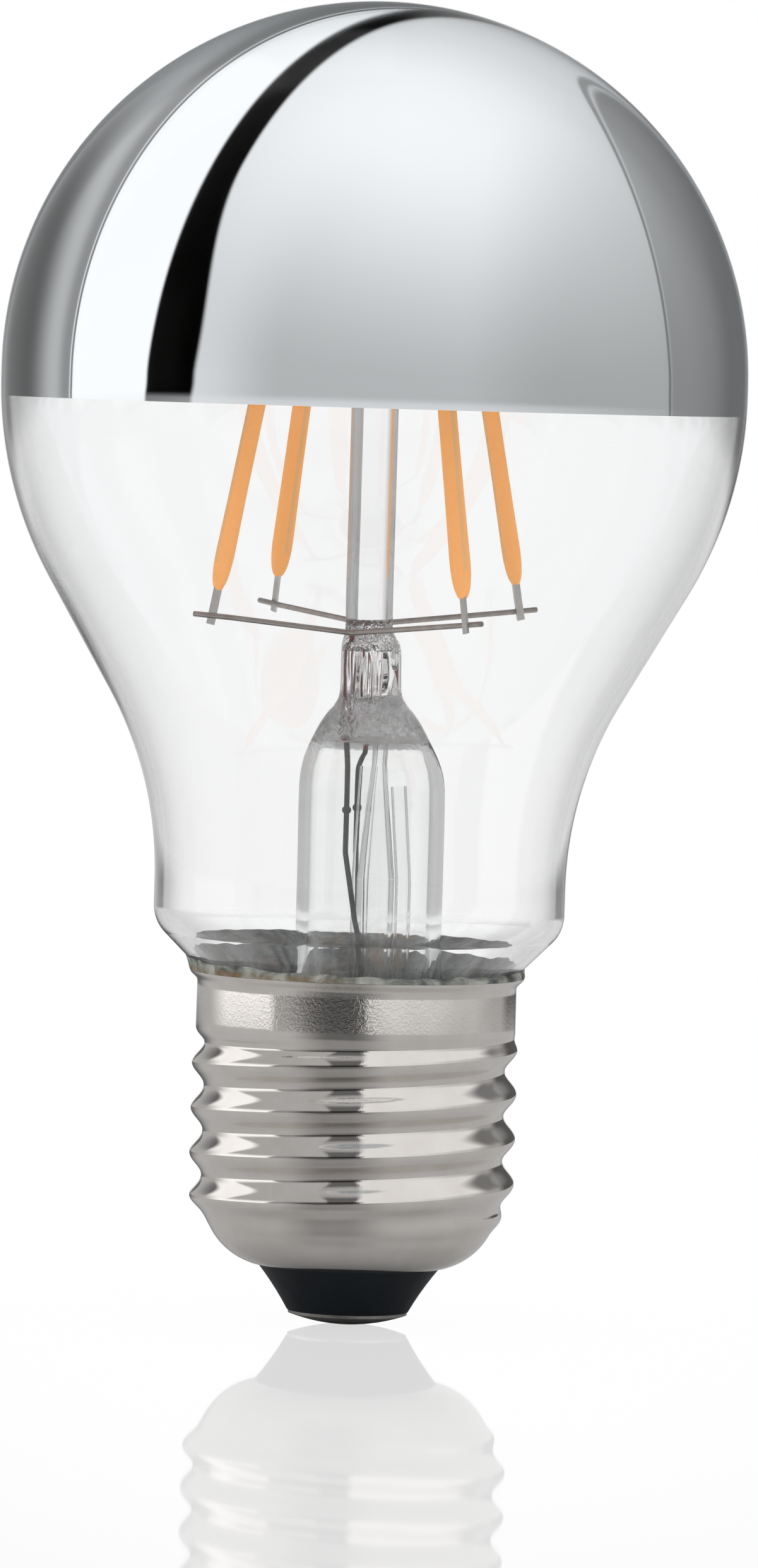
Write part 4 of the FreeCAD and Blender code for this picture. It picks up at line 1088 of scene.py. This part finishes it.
CAMERA_DISTANCE = 800.0
CAMERA_ELEVATION = 2.6
CAMERA_ROLL = 1.7
AIM = (1.3, 0.0, 43.6)
FRAME_HEIGHT = 126.1
SENSOR_HEIGHT = 36.0
CLIP_START = 0.01


def build_camera():
    data = bpy.data.cameras.new("camera")
    data.sensor_width = SENSOR_HEIGHT
    data.lens = SENSOR_HEIGHT * CAMERA_DISTANCE / FRAME_HEIGHT
    data.clip_start = CLIP_START
    camera = bpy.data.objects.new("camera", data)
    scene.collection.objects.link(camera)
    elevation = math.radians(CAMERA_ELEVATION)
    backward = Vector((0, -math.cos(elevation), math.sin(elevation)))
    place = Vector(AIM) + CAMERA_DISTANCE * backward
    camera.matrix_world = (
        Matrix.Translation(place * MM)
        @ Matrix.Rotation(math.radians(90) - elevation, 4, "X")
        @ Matrix.Rotation(math.radians(CAMERA_ROLL), 4, "Z"))
    scene.camera = camera


# Light source and wires, whose CAD shapes are kept

FILAMENTS = [f"filament_{number}" for number in range(1, 5)]


def paint_filaments():
    paint(phosphor(), *FILAMENTS)
    paint(strip_base(), *(f"{filament}_strip" for filament in FILAMENTS))
    tabs = metal("tab_metal", srgb(226, 224, 220), srgb(186, 182, 178), 0.35)
    for filament in FILAMENTS:
        paint(tabs, f"{filament}_lower_terminal", f"{filament}_upper_terminal")


def paint_wires():
    supports = metal("wire_metal", srgb(176, 168, 162), srgb(136, 126, 120), 0.35)
    paint(supports, "lower_support_front", "lower_support_rear")
    paint(supports, "upper_link_left", "upper_link_right")
    seals = metal("seal_metal", srgb(150, 70, 60), srgb(96, 44, 40), 0.4)
    paint(seals, "seal_wire_front", "seal_wire_rear")
    leads = metal("lead_metal", srgb(72, 70, 68), srgb(40, 38, 38), 0.4)
    paint(leads, "lead_out_wire_front", "lead_out_wire_rear")
    paint(sleeve_plastic(), "lead_sleeve_left", "lead_sleeve_right")


def paint_contact():
    contact = metal("contact_metal", srgb(176, 174, 170), srgb(120, 118, 116), 0.35, 0.8)
    paint(contact, "centre_contact")
    paint(insulator(), "cap_insulator")


def paint_driver():
    laminate = plastic("board_laminate", srgb(60, 110, 70), srgb(40, 84, 52), 0.4)
    paint(laminate, "driver_board")
    can = plastic("capacitor_sleeve", srgb(40, 42, 48), srgb(22, 24, 28), 0.3)
    paint(can, "smoothing_capacitor")
    package = plastic("package_black", srgb(44, 44, 46), srgb(26, 26, 28), 0.5)
    paint(package, "bridge_rectifier", "driver_chip")
    resistor = plastic("resistor_body", srgb(186, 204, 196), srgb(150, 172, 164), 0.35)
    paint(resistor, "fusible_resistor")
    insulation = plastic("lead_insulation", srgb(196, 60, 48), srgb(160, 42, 34), 0.45)
    paint(insulation, "live_lead", "neutral_lead")
    solder = metal("solder_metal", srgb(196, 196, 194), srgb(140, 140, 138), 0.3)
    paint(solder, "neutral_solder")


scene.view_settings.view_transform = "Standard"
scene.cycles.max_bounces = 40
scene.cycles.transmission_bounces = 40
scene.cycles.glossy_bounces = 8

build_world()
build_floor()
build_camera()
build_envelope(clear_glass())
build_mirror(silvering())
build_stem(stem_glass())
build_shell(nickel())
build_cement(cement())
paint(tube_glass(), "exhaust_tube")
paint_filaments()
paint_wires()
paint_contact()
paint_driver()
